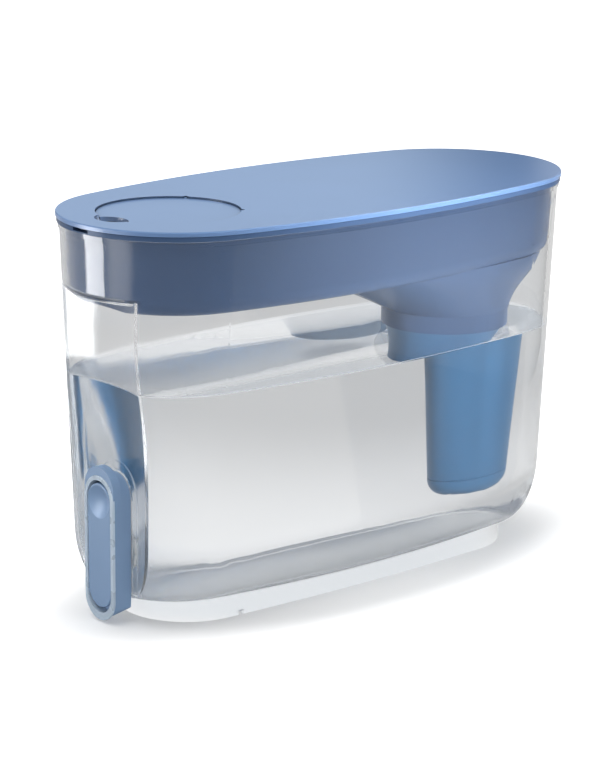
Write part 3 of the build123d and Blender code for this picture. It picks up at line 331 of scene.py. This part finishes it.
    def by_ray(self, rest: Socket, straight: Socket, through: Socket, mirrored: Socket) -> Socket:
        """Chooses a shader by the kind of ray.

        Args:
            rest: Shader for scattered light.
            straight: Shader for the camera's own rays.
            through: Shader for rays that came through glass, or off a gloss later on.
            mirrored: Shader for rays that came straight off a gloss.

        Returns:
            The chosen shader's socket.
        """
        path = self.place("LightPath")
        glossy = path.outputs[Ray.GLOSSY.value]
        early = self.maths("LESS_THAN", path.outputs[Ray.DEPTH.value], self.PAST_FIRST_BOUNCE)
        chosen = self.mixed(glossy, rest, through)
        chosen = self.mixed(self.maths("MULTIPLY", early, glossy), chosen, mirrored)
        chosen = self.mixed(path.outputs[Ray.TRANSMISSION.value], chosen, through)
        return self.mixed(path.outputs[Ray.CAMERA.value], chosen, straight)


class ShaderSheet(NodeSheet):
    """The node tree of a new material."""

    def __init__(self, name: str) -> None:
        """Starts an empty material.

        Args:
            name: The material's name.
        """
        self.material = bpy.data.materials.new(name)
        self.material.use_nodes = True
        super().__init__(self.material.node_tree, "OutputMaterial")


@dataclass(frozen=True)
class Fade:
    """A level that changes between a near and a far value."""

    near: float
    far: float
    start: float
    end: float

    def follow(self, sheet: NodeSheet, value: Socket) -> Socket:
        """Maps a measured distance or direction to the level."""
        return sheet.ramp(value, self.start, self.end, self.near, self.far)


@dataclass(frozen=True)
class MouldedPlastic:
    """Opaque injection-moulded plastic with faint flow marks, a fine grain and, where asked, painted shade
    in narrow hollows.
    """

    name: str
    colour: Colour
    roughness: float = 0.3
    roughness_spread: float = 0.03
    polish_size: float = 0.015
    flow: float = 0.04
    flow_size: float = 0.06
    grain_size: float = 0.002
    grain_detail: float = 2.0
    grain_height: float = 0.0000015
    gloss: float = 0.5
    # Reach and strength of the painted shade in hollows; none where the reach is 0.
    painted_shade_reach: float = 0.0
    painted_shade_depth: float = 2.0

    def make(self) -> bpy.types.Material:
        """Builds the material.

        Returns:
            The material.
        """
        sheet = ShaderSheet(self.name)
        surface = sheet.place(
            "BsdfPrincipled", Roughness=self.roughness, Specular_IOR_Level=self.gloss
        )
        colour = sheet.mottled(sheet.noise(self.flow_size), self.colour, self.flow)
        sheet.join(self.with_painted_hollow_shade(sheet, colour), surface.inputs["Base Color"])
        if self.roughness_spread > 0:
            rough = sheet.uneven(self.polish_size, self.roughness, self.roughness_spread)
            sheet.join(rough, surface.inputs["Roughness"])
        grain = sheet.noise(self.grain_size, self.grain_detail)
        sheet.join(sheet.bump(grain, self.grain_height), surface.inputs["Normal"])
        sheet.show(surface.outputs["BSDF"])
        return sheet.material

    def with_painted_hollow_shade(self, sheet: ShaderSheet, colour: Socket) -> Socket:
        """Paints shade into the colour in narrow hollows such as a finger scoop or a joint line.

        Args:
            sheet: The material's node tree.
            colour: Socket with the colour on open faces.

        Returns:
            The socket with the colour, unchanged where the finish has no such reach.
        """
        if self.painted_shade_reach == 0:
            return colour
        # Painted shade: ambient occlusion darkens the base colour in hollows.
        hollow = sheet.place("AmbientOcclusion", Distance=self.painted_shade_reach)
        darker = sheet.place("VectorMath", operation="SCALE")
        sheet.join(colour, darker.inputs[0])
        depth = sheet.maths("POWER", hollow.outputs["AO"], self.painted_shade_depth)
        sheet.join(depth, darker.inputs["Scale"])
        return darker.outputs["Vector"]


@dataclass(frozen=True)
class Haze:
    """A stretch of a clear part where the moulded surface turns slightly cloudy."""

    axis: Axis
    clear: float
    cloudy: float
    roughness: float

    def level(self, sheet: NodeSheet, here: Socket) -> Socket:
        """Roughness that grows from the clear end of the stretch to the cloudy one."""
        reach = sheet.part(here, self.axis)
        return sheet.ramp(reach, self.clear, self.cloudy, 0.0, self.roughness)


@dataclass(frozen=True)
class ClearBody:
    """Clear solid or liquid that lets light on what lies inside it."""

    name: str
    tint: Colour
    ior: float
    shade: Colour = (0.9, 0.91, 0.92)
    haze: tuple[Haze, ...] = ()
    ripple_size: float = 0.05
    ripple_detail: float = 1.0
    ripple_height: float = 0.000003
    deepest: float = 24.0

    def make(self) -> bpy.types.Material:
        """Builds the material.

        It is see-through for shadows, and for light that keeps turning inside it.

        Returns:
            The material.
        """
        sheet = ShaderSheet(self.name)
        surface = sheet.place(
            "BsdfPrincipled",
            Base_Color=rgba(self.tint),
            Roughness=0.0,
            IOR=self.ior,
            Transmission_Weight=1.0,
        )
        if self.haze:
            sheet.join(self.cloudiness(sheet), surface.inputs["Roughness"])
        ripple = sheet.noise(self.ripple_size, self.ripple_detail)
        sheet.join(sheet.bump(ripple, self.ripple_height), surface.inputs["Normal"])
        passing = sheet.place("BsdfTransparent", Color=rgba(self.shade))
        path = sheet.place("LightPath")
        lost = sheet.maths("GREATER_THAN", path.outputs[Ray.DEPTH.value], self.deepest)
        open_to = sheet.maths("MAXIMUM", path.outputs[Ray.SHADOW.value], lost)
        sheet.show(sheet.mixed(open_to, surface.outputs["BSDF"], passing.outputs["BSDF"]))
        return sheet.material

    def cloudiness(self, sheet: ShaderSheet) -> Socket:
        """Roughness that follows the cloudiest of the hazy stretches.

        Args:
            sheet: The material's node tree.

        Returns:
            The socket with the roughness.
        """
        here = sheet.coords(Coords.OBJECT)
        cloud, *others = [stretch.level(sheet, here) for stretch in self.haze]
        for level in others:
            cloud = sheet.maths("MAXIMUM", cloud, level)
        return cloud


@dataclass(frozen=True)
class FrostedPlastic:
    """Cloudy, half-clear plastic."""

    name: str
    colour: Colour
    roughness: float = 0.3
    roughness_spread: float = 0.06
    patch_size: float = 0.012
    clearness: float = 0.6
    ior: float = 1.49
    frost_size: float = 0.0008
    frost_detail: float = 2.0
    frost_height: float = 0.00001

    def make(self) -> bpy.types.Material:
        """Builds the material.

        Returns:
            The material.
        """
        sheet = ShaderSheet(self.name)
        surface = sheet.place(
            "BsdfPrincipled",
            Base_Color=rgba(self.colour),
            IOR=self.ior,
            Transmission_Weight=self.clearness,
        )
        rough = sheet.uneven(self.patch_size, self.roughness, self.roughness_spread)
        sheet.join(rough, surface.inputs["Roughness"])
        frost = sheet.noise(self.frost_size, self.frost_detail)
        sheet.join(sheet.bump(frost, self.frost_height), surface.inputs["Normal"])
        sheet.show(surface.outputs["BSDF"])
        return sheet.material


@dataclass(frozen=True)
class BrushedSteel:
    """Drawn stainless steel with fine marks."""

    name: str
    colour: Colour
    roughness: float = 0.28
    roughness_spread: float = 0.1
    patch_size: float = 0.0004
    mark_size: float = 0.00015
    mark_detail: float = 1.0
    mark_height: float = 0.000004

    def make(self) -> bpy.types.Material:
        """Builds the material.

        Returns:
            The material.
        """
        sheet = ShaderSheet(self.name)
        surface = sheet.place("BsdfPrincipled", Base_Color=rgba(self.colour), Metallic=1.0)
        rough = sheet.uneven(self.patch_size, self.roughness, self.roughness_spread)
        sheet.join(rough, surface.inputs["Roughness"])
        marks = sheet.noise(self.mark_size, self.mark_detail)
        sheet.join(sheet.bump(marks, self.mark_height), surface.inputs["Normal"])
        sheet.show(surface.outputs["BSDF"])
        return sheet.material


@dataclass(frozen=True)
class MattSurface:
    """Rubber, paper or pressed granules: no shine, and a relief of its own size."""

    name: str
    colour: Colour
    relief_size: float
    relief_height: float
    mottle: float = 0.15
    relief_detail: float = 4.0
    roughness: float = 0.75

    def make(self) -> bpy.types.Material:
        """Builds the material.

        Returns:
            The material.
        """
        sheet = ShaderSheet(self.name)
        surface = sheet.place("BsdfPrincipled", Roughness=self.roughness)
        patch = sheet.noise(self.relief_size, self.relief_detail)
        colour = sheet.mottled(patch, self.colour, self.mottle)
        sheet.join(colour, surface.inputs["Base Color"])
        sheet.join(sheet.bump(patch, self.relief_height), surface.inputs["Normal"])
        sheet.show(surface.outputs["BSDF"])
        return sheet.material


WHITE_PLASTIC = MouldedPlastic("white plastic", (0.8, 0.8, 0.78), 0.4)
STEEL = BrushedSteel("steel", (0.62, 0.63, 0.64))
SEAL_RUBBER = MattSurface("seal rubber", (0.02, 0.02, 0.022), 0.002, 0.00003)


class Finish(Protocol):
    """Anything that can be made into a material."""

    name: str

    def make(self) -> bpy.types.Material:
        """Builds the material."""


def made(finish: Finish) -> bpy.types.Material:
    """Makes a finish's material, or gives the one that was made before."""
    return bpy.data.materials.get(finish.name) or finish.make()


class Workbench:
    """Modelling moves that several pieces share."""

    # Corners that lie closer than this, in metres, are one corner.
    WELD = 1e-6

    @staticmethod
    def clear_selection() -> None:
        """Leaves nothing selected and no piece in edit mode."""
        if bpy.context.object is not None and bpy.context.object.mode != "OBJECT":
            bpy.ops.object.mode_set(mode="OBJECT")
        bpy.ops.object.select_all(action="DESELECT")

    @staticmethod
    def take(piece: bpy.types.Object) -> None:
        """Selects one piece alone and makes it the active one.

        Args:
            piece: The piece.
        """
        Workbench.clear_selection()
        piece.hide_set(False)
        piece.select_set(True)
        bpy.context.view_layer.objects.active = piece

    @staticmethod
    def copy_of(node: bpy.types.Object, name: str) -> bpy.types.Object:
        """Copies a CAD node's mesh into a new piece and joins its loose triangles.

        Args:
            node: The CAD node.
            name: The new piece's name.

        Returns:
            The new piece, in object mode.
        """
        piece = bpy.data.objects.new(name, node.data.copy())
        bpy.context.scene.collection.objects.link(piece)
        Workbench.take(piece)
        bpy.ops.mesh.customdata_custom_splitnormals_clear()
        bpy.ops.object.mode_set(mode="EDIT")
        bpy.ops.mesh.select_all(action="SELECT")
        bpy.ops.mesh.remove_doubles(threshold=Workbench.WELD)
        bpy.ops.object.mode_set(mode="OBJECT")
        return piece

    @staticmethod
    def pick_faces(piece: bpy.types.Object, wanted: Callable[[bmesh.types.BMFace], bool]) -> None:
        """Selects the faces that pass a test, and no others, in edit mode.

        Args:
            piece: The piece that is in edit mode.
            wanted: Test of a face.
        """
        bpy.ops.mesh.select_all(action="DESELECT")
        bpy.ops.mesh.select_mode(type="FACE")
        mesh = bmesh.from_edit_mesh(piece.data)
        for face in mesh.faces:
            if wanted(face):
                face.select_set(True)
        mesh.select_flush_mode()
        bmesh.update_edit_mesh(piece.data)

    @staticmethod
    def finish_piece(piece: bpy.types.Object, body: Body, finish: Finish, crease: float) -> None:
        """Smooths a piece, dresses it and lets it ride on its body.

        Args:
            piece: The finished piece.
            body: The body that it moves with.
            finish: Its finish.
            crease: Angle in degrees past which an edge stays sharp.
        """
        Workbench.take(piece)
        bpy.ops.object.shade_smooth_by_angle(angle=math.radians(crease))
        piece.data.materials.clear()
        piece.data.materials.append(made(finish))
        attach(piece, body.value)
        LOG.info("%s: %d faces, rides on %s", piece.name, len(piece.data.polygons), body.value)


@dataclass
class SubAssembly:
    """A unit of the dispenser whose pieces are dressed together."""

    nodes: Nodes

    def dress(self, finish: Finish, *names: str) -> None:
        """Puts a finish on every slot of the named nodes.

        Args:
            finish: The finish, which is made once and then shared.
            *names: The nodes.
        """
        material = made(finish)
        for name in names:
            for slot in self.nodes[name].material_slots:
                slot.material = material
            LOG.info("%s dressed in %s", name, finish.name)


@dataclass
class WaterFill:
    """Water standing in the tank up to just under the filter collar."""

    level: float = 0.1516
    rise: float = 0.0016
    rim_width: float = 0.0011
    rim_share: float = 0.65
    slope_width: float = 0.0022
    wall_overlap: float = 0.0003
    floor_low: float = 0.018
    floor_high: float = 0.02
    valve_height: float = 0.045
    shank_hole: float = 0.0125
    shank_rear: float = -0.15
    level_normal: float = 0.99
    side_normal: float = 0.5
    slack: float = 0.0001
    crease: float = 40.0
    finish: ClearBody = ClearBody("water", (0.985, 0.99, 0.995), 1.333, (0.95, 0.96, 0.97))

    @property
    def top(self) -> float:
        """Height at which the water meets the wall."""
        return self.level + self.rise

    def build(self, tank: bpy.types.Object) -> None:
        """Takes the tank's inner skin up to the water level and closes it with a curved edge.

        Args:
            tank: The tank's CAD node.
        """
        water = Workbench.copy_of(tank, "water")
        bpy.ops.object.mode_set(mode="EDIT")
        bpy.ops.mesh.select_all(action="SELECT")
        bpy.ops.mesh.bisect(
            plane_co=(0, 0, self.top), plane_no=(0, 0, 1), clear_outer=True, use_fill=False
        )
        Workbench.pick_faces(water, self.in_shank_hole)
        bpy.ops.mesh.delete(type="FACE")
        self.keep_inner_skin(water)
        bpy.ops.mesh.select_all(action="SELECT")
        bpy.ops.transform.shrink_fatten(value=-self.wall_overlap)
        bpy.ops.mesh.select_all(action="SELECT")
        bpy.ops.mesh.fill_holes(sides=0)
        bpy.ops.mesh.select_all(action="SELECT")
        bpy.ops.mesh.normals_make_consistent(inside=False)
        self.curve_the_edge(water)
        bpy.ops.object.mode_set(mode="OBJECT")
        Workbench.finish_piece(water, Body.TANK, self.finish, self.crease)

    def in_shank_hole(self, face: bmesh.types.BMFace) -> bool:
        """Tells whether a face lines the hole that the tap's shank goes through.

        Args:
            face: The face.

        Returns:
            True where it does.
        """
        middle = face.calc_center_median()
        from_axis = math.hypot(middle.x, middle.z - self.valve_height)
        faces_axis = abs(face.normal.y) < self.side_normal
        return from_axis < self.shank_hole and faces_axis and middle.y < self.shank_rear

    def on_tank_floor(self, face: bmesh.types.BMFace) -> bool:
        """Tells whether a face belongs to the tank's floor, seen from inside."""
        height = face.calc_center_median().z
        return face.normal.z > self.level_normal and self.floor_low < height < self.floor_high

    def on_surface(self, face: bmesh.types.BMFace) -> bool:
        """Tells whether a face belongs to the water's surface."""
        height = face.calc_center_median().z
        return face.normal.z > self.level_normal and height > self.top - self.slack

    def keep_inner_skin(self, water: bpy.types.Object) -> None:
        """Deletes all but the skin that the tank's floor belongs to.

        Args:
            water: The piece, in edit mode.
        """
        Workbench.pick_faces(water, self.on_tank_floor)
        bpy.ops.mesh.select_linked()
        bpy.ops.mesh.select_all(action="INVERT")
        bpy.ops.mesh.delete(type="FACE")

    def curve_the_edge(self, water: bpy.types.Object) -> None:
        """Lowers the surface inside its edge, so that the water climbs the wall a little.

        Args:
            water: The piece, in edit mode.
        """
        Workbench.pick_faces(water, self.on_surface)
        for width, share in (
            (self.rim_width, self.rim_share),
            (self.slope_width, 1.0 - self.rim_share),
        ):
            bpy.ops.mesh.inset(thickness=width, depth=-share * self.rise)


@dataclass
class Tank(SubAssembly):
    """Clear tank on its ring foot, with the water that stands in it."""

    wall: ClearBody = ClearBody(
        "clear plastic",
        (0.97, 0.975, 0.98),
        1.49,
        haze=(Haze(Axis.Y, -0.13, -0.17, 0.1), Haze(Axis.Z, 0.03, 0.014, 0.3)),
    )
    water: WaterFill = field(default_factory=WaterFill)

    def build(self) -> None:
        """Clears the wall and fills the tank."""
        self.dress(self.wall, "tank")
        self.water.build(self.nodes["tank"])


@dataclass
class Reservoir(SubAssembly):
    """Upper tray with the funnel that holds the filter."""

    shell: MouldedPlastic = MouldedPlastic(
        "reservoir blue",
        (0.082, 0.142, 0.275),
        0.25,
        roughness_spread=0.0,
        grain_height=0.0000003,
        gloss=0.1,
    )

    def build(self) -> None:
        """Dresses the tray."""
        self.dress(self.shell, "reservoir")


@dataclass
class Lid(SubAssembly):
    """Flat lid and the round hatch for filling."""

    # Painted shade darkens the lid and hatch in the finger scoop and in the gaps between parts.
    top: MouldedPlastic = MouldedPlastic(
        "lid blue", (0.19, 0.33, 0.62), 0.3, roughness_spread=0.0, painted_shade_reach=0.02
    )

    def build(self) -> None:
        """Dresses the lid and the hatch alike."""
        self.dress(self.top, "lid_plate", "fill_hatch")


@dataclass
class FilterCartridge(SubAssembly):
    """Long filter with its caps, seal, core and the two media."""

    shell: MouldedPlastic = MouldedPlastic("filter blue", (0.066, 0.2, 0.385), 0.35, gloss=0.2)
    media: MattSurface = MattSurface("pleated media", (0.8, 0.79, 0.74), 0.0015, 0.00008, 0.06)
    granules: MattSurface = MattSurface("carbon granules", (0.02, 0.02, 0.021), 0.0012, 0.0004, 0.5)

    def build(self) -> None:
        """Dresses the shell, what it holds and its seal."""
        self.dress(self.shell, "filter_body", "filter_top_cap", "filter_bottom_cap")
        self.dress(self.media, "pleated_media")
        self.dress(self.granules, "carbon_block")
        self.dress(WHITE_PLASTIC, "filter_core")
        self.dress(SEAL_RUBBER, "filter_seal")


@dataclass
class CoilSpring:
    """Spring round the valve stem, which in the real tap shortens as the stem slides in."""

    travel: float = 0.0027
    joint: str = "stem_slide"
    crease: float = 40.0

    def build(self, spring: bpy.types.Object) -> None:
        """Copies the spring into a dressed piece that rides on the tank, and hides the CAD node.

        Args:
            spring: The spring's CAD node.
        """
        coil = Workbench.copy_of(spring, "coil_spring")
        Workbench.finish_piece(coil, Body.TANK, STEEL, self.crease)
        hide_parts(spring.name)
        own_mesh(coil)


@dataclass
class Tap(SubAssembly):
    """Lever tap with its lined hood, valve and fixings."""

    shell: MouldedPlastic = MouldedPlastic("tap blue", (0.26, 0.39, 0.6), 0.4, gloss=0.3)
    liner: FrostedPlastic = FrostedPlastic("frosted liner", (0.68, 0.81, 0.95), clearness=0.2)
    soft_rings: MattSurface = MattSurface("gasket rubber", (0.6, 0.62, 0.64), 0.002, 0.00003, 0.05)
    spring: CoilSpring = field(default_factory=CoilSpring)

    def build(self) -> None:
        """Dresses the tap's outside, then the parts that work inside it."""
        self.dress(self.shell, "tap_body", "tap_lever")
        self.dress(self.liner, "tap_liner")
        self.dress(WHITE_PLASTIC, "valve_stem", "tap_nut")
        self.dress(STEEL, "lever_pin")
        self.dress(SEAL_RUBBER, "stem_seal", "valve_plug")
        self.dress(self.soft_rings, "tap_gasket", "inner_washer")
        self.spring.build(self.nodes["return_spring"])


@dataclass
class StudioLight:
    """What lamps and cards share: a place, an aim, a size and a brightness."""

    name: str
    place: Point
    aim: Point
    size: tuple[float, float]
    brightness: float
    tint: Colour = WHITE

    def set_up(self, light: bpy.types.Object, *unseen_by: str) -> None:
        """Moves and turns a lamp or card, and hides it from some kinds of ray.

        Args:
            light: The lamp or card.
            *unseen_by: The kinds of ray that don't see it.
        """
        towards = Vector(self.aim) - Vector(self.place)
        light.location = self.place
        light.rotation_euler = towards.to_track_quat("-Z", "Y").to_euler()
        for kind in unseen_by:
            setattr(light, "visible_" + kind, False)


@dataclass
class Softbox(StudioLight):
    """A large soft lamp that the camera doesn't see."""

    spread: float = 180.0

    def build(self) -> None:
        """Hangs the lamp."""
        wide, high = self.size
        data = bpy.data.lights.new(self.name, "AREA")
        data.shape = "RECTANGLE"
        data.size, data.size_y = wide, high
        data.energy = self.brightness * math.pi * wide * high * self.narrowing()
        data.color = self.tint
        data.spread = math.radians(self.spread)
        lamp = bpy.data.objects.new(self.name, data)
        bpy.context.scene.collection.objects.link(lamp)
        self.set_up(lamp, "camera", "transmission", "glossy")

    def narrowing(self) -> float:
        """Share of a wide lamp's power that looks as bright straight ahead in a narrow beam."""
        half = math.radians(self.spread) / 2
        return 1.0 - half / math.tan(half)


@dataclass
class GlowPanel(StudioLight):
    """A softly edged bright card that only shows in glossy surfaces."""

    edge: float = 0.6

    def build(self) -> None:
        """Stands the card up."""
        wide, high = self.size
        Workbench.clear_selection()
        # The plane reaches 1 each way before it is scaled, which the glow counts on.
        bpy.ops.mesh.primitive_plane_add(size=2.0)
        card = bpy.context.object
        card.name = self.name
        card.data.materials.append(self.glow())
        card.scale = (wide / 2, high / 2, 1.0)
        self.set_up(card, "camera", "diffuse", "transmission", "shadow", "volume_scatter")

    def glow(self) -> bpy.types.Material:
        """Makes the glow, which fades towards the card's edges.

        Returns:
            The material.
        """
        sheet = ShaderSheet(self.name)
        here = sheet.coords(Coords.OBJECT)
        fade = Fade(1.0, 0.0, 1.0 - self.edge, 1.0)
        across, upwards = (
            fade.follow(sheet, sheet.maths("ABSOLUTE", sheet.part(here, axis)))
            for axis in (Axis.X, Axis.Y)
        )
        level = sheet.maths("MULTIPLY", sheet.maths("MULTIPLY", across, upwards), self.brightness)
        glow = sheet.place("Emission", Color=rgba(self.tint))
        sheet.join(level, glow.inputs["Strength"])
        sheet.show(glow.outputs["Emission"])
        return sheet.material


@dataclass
class Studio:
    """Pale floor, soft lamps and the camera."""

    azimuth: float = 50.0
    elevation: float = 14.608
    roll: float = 0.24
    distance: float = 1.7975
    aim_height: float = 0.12489
    aim_side: float = -0.03166
    lens: float = 128.4
    shift: tuple[float, float] = (0.0415, -0.0021)
    view_reach: float = 50.0
    floor_size: float = 16.0
    floor_colour: float = 0.8
    foot_stretch: float = 2.2
    # Painted shade on the floor under the tank, as seen through the clear wall.
    painted_shade_under_tank: Colour = (0.84, 0.87, 0.9)
    sky_tint: Colour = (0.97, 0.985, 1.0)
    # Painted shadow: the floor's glow is weak near the foot and full further out, so a darker band lies
    # round the base.
    glow: Fade = Fade(0.2, 0.95, 0.16, 0.27)
    under_edge: Fade = Fade(0.0, 1.0, 0.13, 0.17)
    through_floor: Fade = Fade(0.97, 0.64, 0.12, 0.62)
    glossy_floor: Fade = Fade(0.05, 0.75, -0.3, 0.8)
    through_sky: Fade = Fade(0.6, 0.8, 0.0, 0.5)
    glossy_sky: Fade = Fade(0.03, 0.2, -0.3, 0.9)
    light_sky: Fade = Fade(0.42, 0.5, 0.0, 1.0)
    lamps: list[Softbox | GlowPanel] = field(default_factory=list)

    def build(self) -> None:
        """Sets the floor, the surroundings, the lamps and the camera."""
        self.build_floor()
        self.build_world()
        for lamp in self.lamps:
            lamp.build()
            LOG.info("lamp %s", lamp.name)
        self.build_camera()

    def build_floor(self) -> None:
        """Lays a floor that looks white to the camera, keeps the real shadow and has a painted shadow
        round the foot.
        """
        Workbench.clear_selection()
        bpy.ops.mesh.primitive_plane_add(size=self.floor_size, location=(0, 0, 0))
        floor = bpy.context.object
        floor.name = "floor"
        sheet = ShaderSheet("pale floor")
        bounce = sheet.place("BsdfDiffuse", Color=rgba((self.floor_colour,) * 3)).outputs["BSDF"]
        here = sheet.coords(Coords.OBJECT)
        from_foot = self.from_foot(sheet, here)
        seen = sheet.place("AddShader")
        sheet.join(bounce, seen.inputs[0])
        # The glow that the camera sees is weaker round the foot: a painted shadow.
        sheet.join(self.glowing(sheet, self.glow, from_foot), seen.inputs[1])
        shader = sheet.by_ray(
            rest=bounce,
            straight=seen.outputs["Shader"],
            through=self.seen_through(sheet, sheet.length(here), from_foot),
            mirrored=self.glowing(sheet, self.glossy_floor, self.behind(sheet, here)),
        )
        sheet.show(shader)
        floor.data.materials.append(sheet.material)

    def from_foot(self, sheet: NodeSheet, here: Socket) -> Socket:
        """An oval distance from the middle, as the foot is longer than it is wide; the painted shadow and
        shade round the foot follow it.

        Args:
            sheet: The floor's node tree.
            here: Socket with the place on the floor.

        Returns:
            The socket with the distance, measured along the tank.
        """
        oval = sheet.place("VectorMath", operation="MULTIPLY")
        sheet.join(here, oval.inputs[0])
        oval.inputs[1].default_value = (self.foot_stretch, 1.0, 1.0)
        return sheet.length(oval.outputs["Vector"])

    def seen_through(self, sheet: NodeSheet, away: Socket, from_foot: Socket) -> Socket:
        """The floor as it shows through the tank, with painted shade where the tank stands.

        Args:
            sheet: The floor's node tree.
            away: Socket with the distance from the middle.
            from_foot: Socket with the oval distance that follows the foot.

        Returns:
            The shader socket.
        """
        # Painted shade where the tank stands, fading out past the foot's edge.
        shade = sheet.place("Emission", Color=rgba(self.painted_shade_under_tank))
        outside = self.under_edge.follow(sheet, from_foot)
        around = self.glowing(sheet, self.through_floor, away)
        return sheet.mixed(outside, shade.outputs["Emission"], around)

    def behind(self, sheet: NodeSheet, here: Socket) -> Socket:
        """How far a place or direction lies towards the backdrop, from -1 in front to 1 behind.

        Args:
            sheet: The node tree to work in.
            here: Socket with the place or direction.

        Returns:
            The socket with the measure.
        """
        heading = sheet.place("VectorMath", operation="NORMALIZE")
        sheet.join(here, heading.inputs[0])
        compare = sheet.place("VectorMath", operation="DOT_PRODUCT")
        sheet.join(heading.outputs["Vector"], compare.inputs[0])
        turn = math.radians(self.azimuth)
        compare.inputs[1].default_value = (-math.sin(turn), math.cos(turn), 0.0)
        return compare.outputs["Value"]

    @staticmethod
    def glowing(sheet: NodeSheet, fade: Fade, value: Socket) -> Socket:
        """A glow whose strength follows a fade.

        Args:
            sheet: The node tree to work in.
            fade: The levels.
            value: What they follow.

        Returns:
            The shader socket.
        """
        glow = sheet.place("Emission")
        sheet.join(fade.follow(sheet, value), glow.inputs["Strength"])
        return glow.outputs["Emission"]

    def sky(self, sheet: NodeSheet, fade: Fade, value: Socket) -> Socket:
        """A world shader whose strength follows a fade.

        Args:
            sheet: The world's node tree.
            fade: The levels.
            value: What they follow.

        Returns:
            The shader socket.
        """
        sky = sheet.place("Background", Color=rgba(self.sky_tint))
        sheet.join(fade.follow(sheet, value), sky.inputs["Strength"])
        return sky.outputs["Background"]

    def build_world(self) -> None:
        """White surroundings for the camera, greys through glass and off a gloss, and a soft light."""
        world = bpy.data.worlds.new("studio")
        bpy.context.scene.world = world
        world.use_nodes = True
        sheet = NodeSheet(world.node_tree, "OutputWorld")
        direction = sheet.coords(Coords.DIRECTION)
        height = sheet.part(direction, Axis.Z)
        white = sheet.place("Background", Color=rgba(WHITE))
        shader = sheet.by_ray(
            rest=self.sky(sheet, self.light_sky, height),
            straight=white.outputs["Background"],
            through=self.sky(sheet, self.through_sky, height),
            mirrored=self.sky(sheet, self.glossy_sky, self.behind(sheet, direction)),
        )
        sheet.show(shader)

    def build_camera(self) -> None:
        """Places the camera at the photograph's angle."""
        turn, tilt, roll = (math.radians(a) for a in (self.azimuth, self.elevation, self.roll))
        flat = math.cos(tilt)
        back = Vector((math.sin(turn) * flat, -math.cos(turn) * flat, math.sin(tilt)))
        right = Vector((math.cos(turn), math.sin(turn), 0.0))
        up = back.cross(right)
        aim = Vector((0.0, 0.0, self.aim_height)) + self.aim_side * right
        rolled_right = math.cos(roll) * right + math.sin(roll) * up
        rolled_up = -math.sin(roll) * right + math.cos(roll) * up
        facing = Matrix((rolled_right, rolled_up, back)).transposed()
        data = bpy.data.cameras.new("camera")
        data.lens = self.lens
        data.shift_x, data.shift_y = self.shift
        data.clip_end = self.view_reach
        camera = bpy.data.objects.new("camera", data)
        bpy.context.scene.collection.objects.link(camera)
        camera.matrix_world = Matrix.Translation(aim + self.distance * back) @ facing.to_4x4()
        bpy.context.scene.camera = camera


OVERHEAD = Softbox("overhead", (0.0, -0.5, 1.0), (0.0, -0.05, 0.25), (0.7, 0.7), 2.9, spread=90.0)
SIDE_LAMP = Softbox(
    "side_lamp", (0.55, 0.04, 0.25), (0.08, 0.04, 0.17), (0.2, 0.25), 66.0, spread=40.0
)
FRONT_LAMP = Softbox(
    "front_lamp", (0.3, -0.6, 0.03), (0.0, -0.18, 0.04), (0.12, 0.12), 16.0, spread=24.0
)
REAR_FILL = Softbox("rear_fill", (-1.2, 0.6, 0.9), (0.0, 0.0, 0.15), (1.0, 1.0), 0.9)
RIGHT_CARD = GlowPanel(
    "right_card",
    (0.34, 0.28, 0.07),
    (0.0, -0.05, 0.07),
    (1.0, 0.24),
    1.2,
    tint=(0.85, 0.93, 1.0),
    edge=0.95,
)
FRONT_CARD = GlowPanel(
    "front_card", (-0.262, -0.545, 0.2), (0.0, -0.165, 0.2), (0.25, 0.5), 12.0, edge=0.25
)
FRONT_DIM_CARD = GlowPanel(
    "front_dim_card", (-0.025, -0.617, 0.2), (0.02, -0.17, 0.2), (0.32, 0.5), 3.0, edge=0.7
)
OVER_CARD = GlowPanel(
    "over_card", (0.1, 0.4, 0.75), (0.05, 0.0, 0.25), (0.5, 0.5), 6.0, edge=0.5
)
LID_CARD = GlowPanel(
    "lid_card",
    (-0.406, 0.196, 0.42),
    (0.0, 0.0, 0.25),
    (0.65, 0.4),
    0.85,
    tint=(0.86, 0.96, 1.0),
    edge=0.5,
)
STUDIO = Studio(
    lamps=[
        OVERHEAD,
        SIDE_LAMP,
        FRONT_LAMP,
        REAR_FILL,
        RIGHT_CARD,
        FRONT_CARD,
        FRONT_DIM_CARD,
        OVER_CARD,
        LID_CARD,
    ]
)


def main() -> None:
    """Builds and dresses the dispenser, then its studio."""
    logging.basicConfig(level=logging.INFO, format="%(name)s %(message)s")
    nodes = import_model()["nodes"]
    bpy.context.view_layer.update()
    for unit in (Tank(nodes), Reservoir(nodes), Lid(nodes), FilterCartridge(nodes), Tap(nodes)):
        LOG.info("building %s", type(unit).__name__)
        unit.build()
    STUDIO.build()
    scene = bpy.context.scene
    scene.view_settings.view_transform = "Standard"
    scene.cycles.max_bounces = BOUNCES
    scene.cycles.transmission_bounces = BOUNCES
    scene.cycles.glossy_bounces = BOUNCES
    scene.cycles.transparent_max_bounces = BOUNCES


if __name__ == "__main__":
    main()
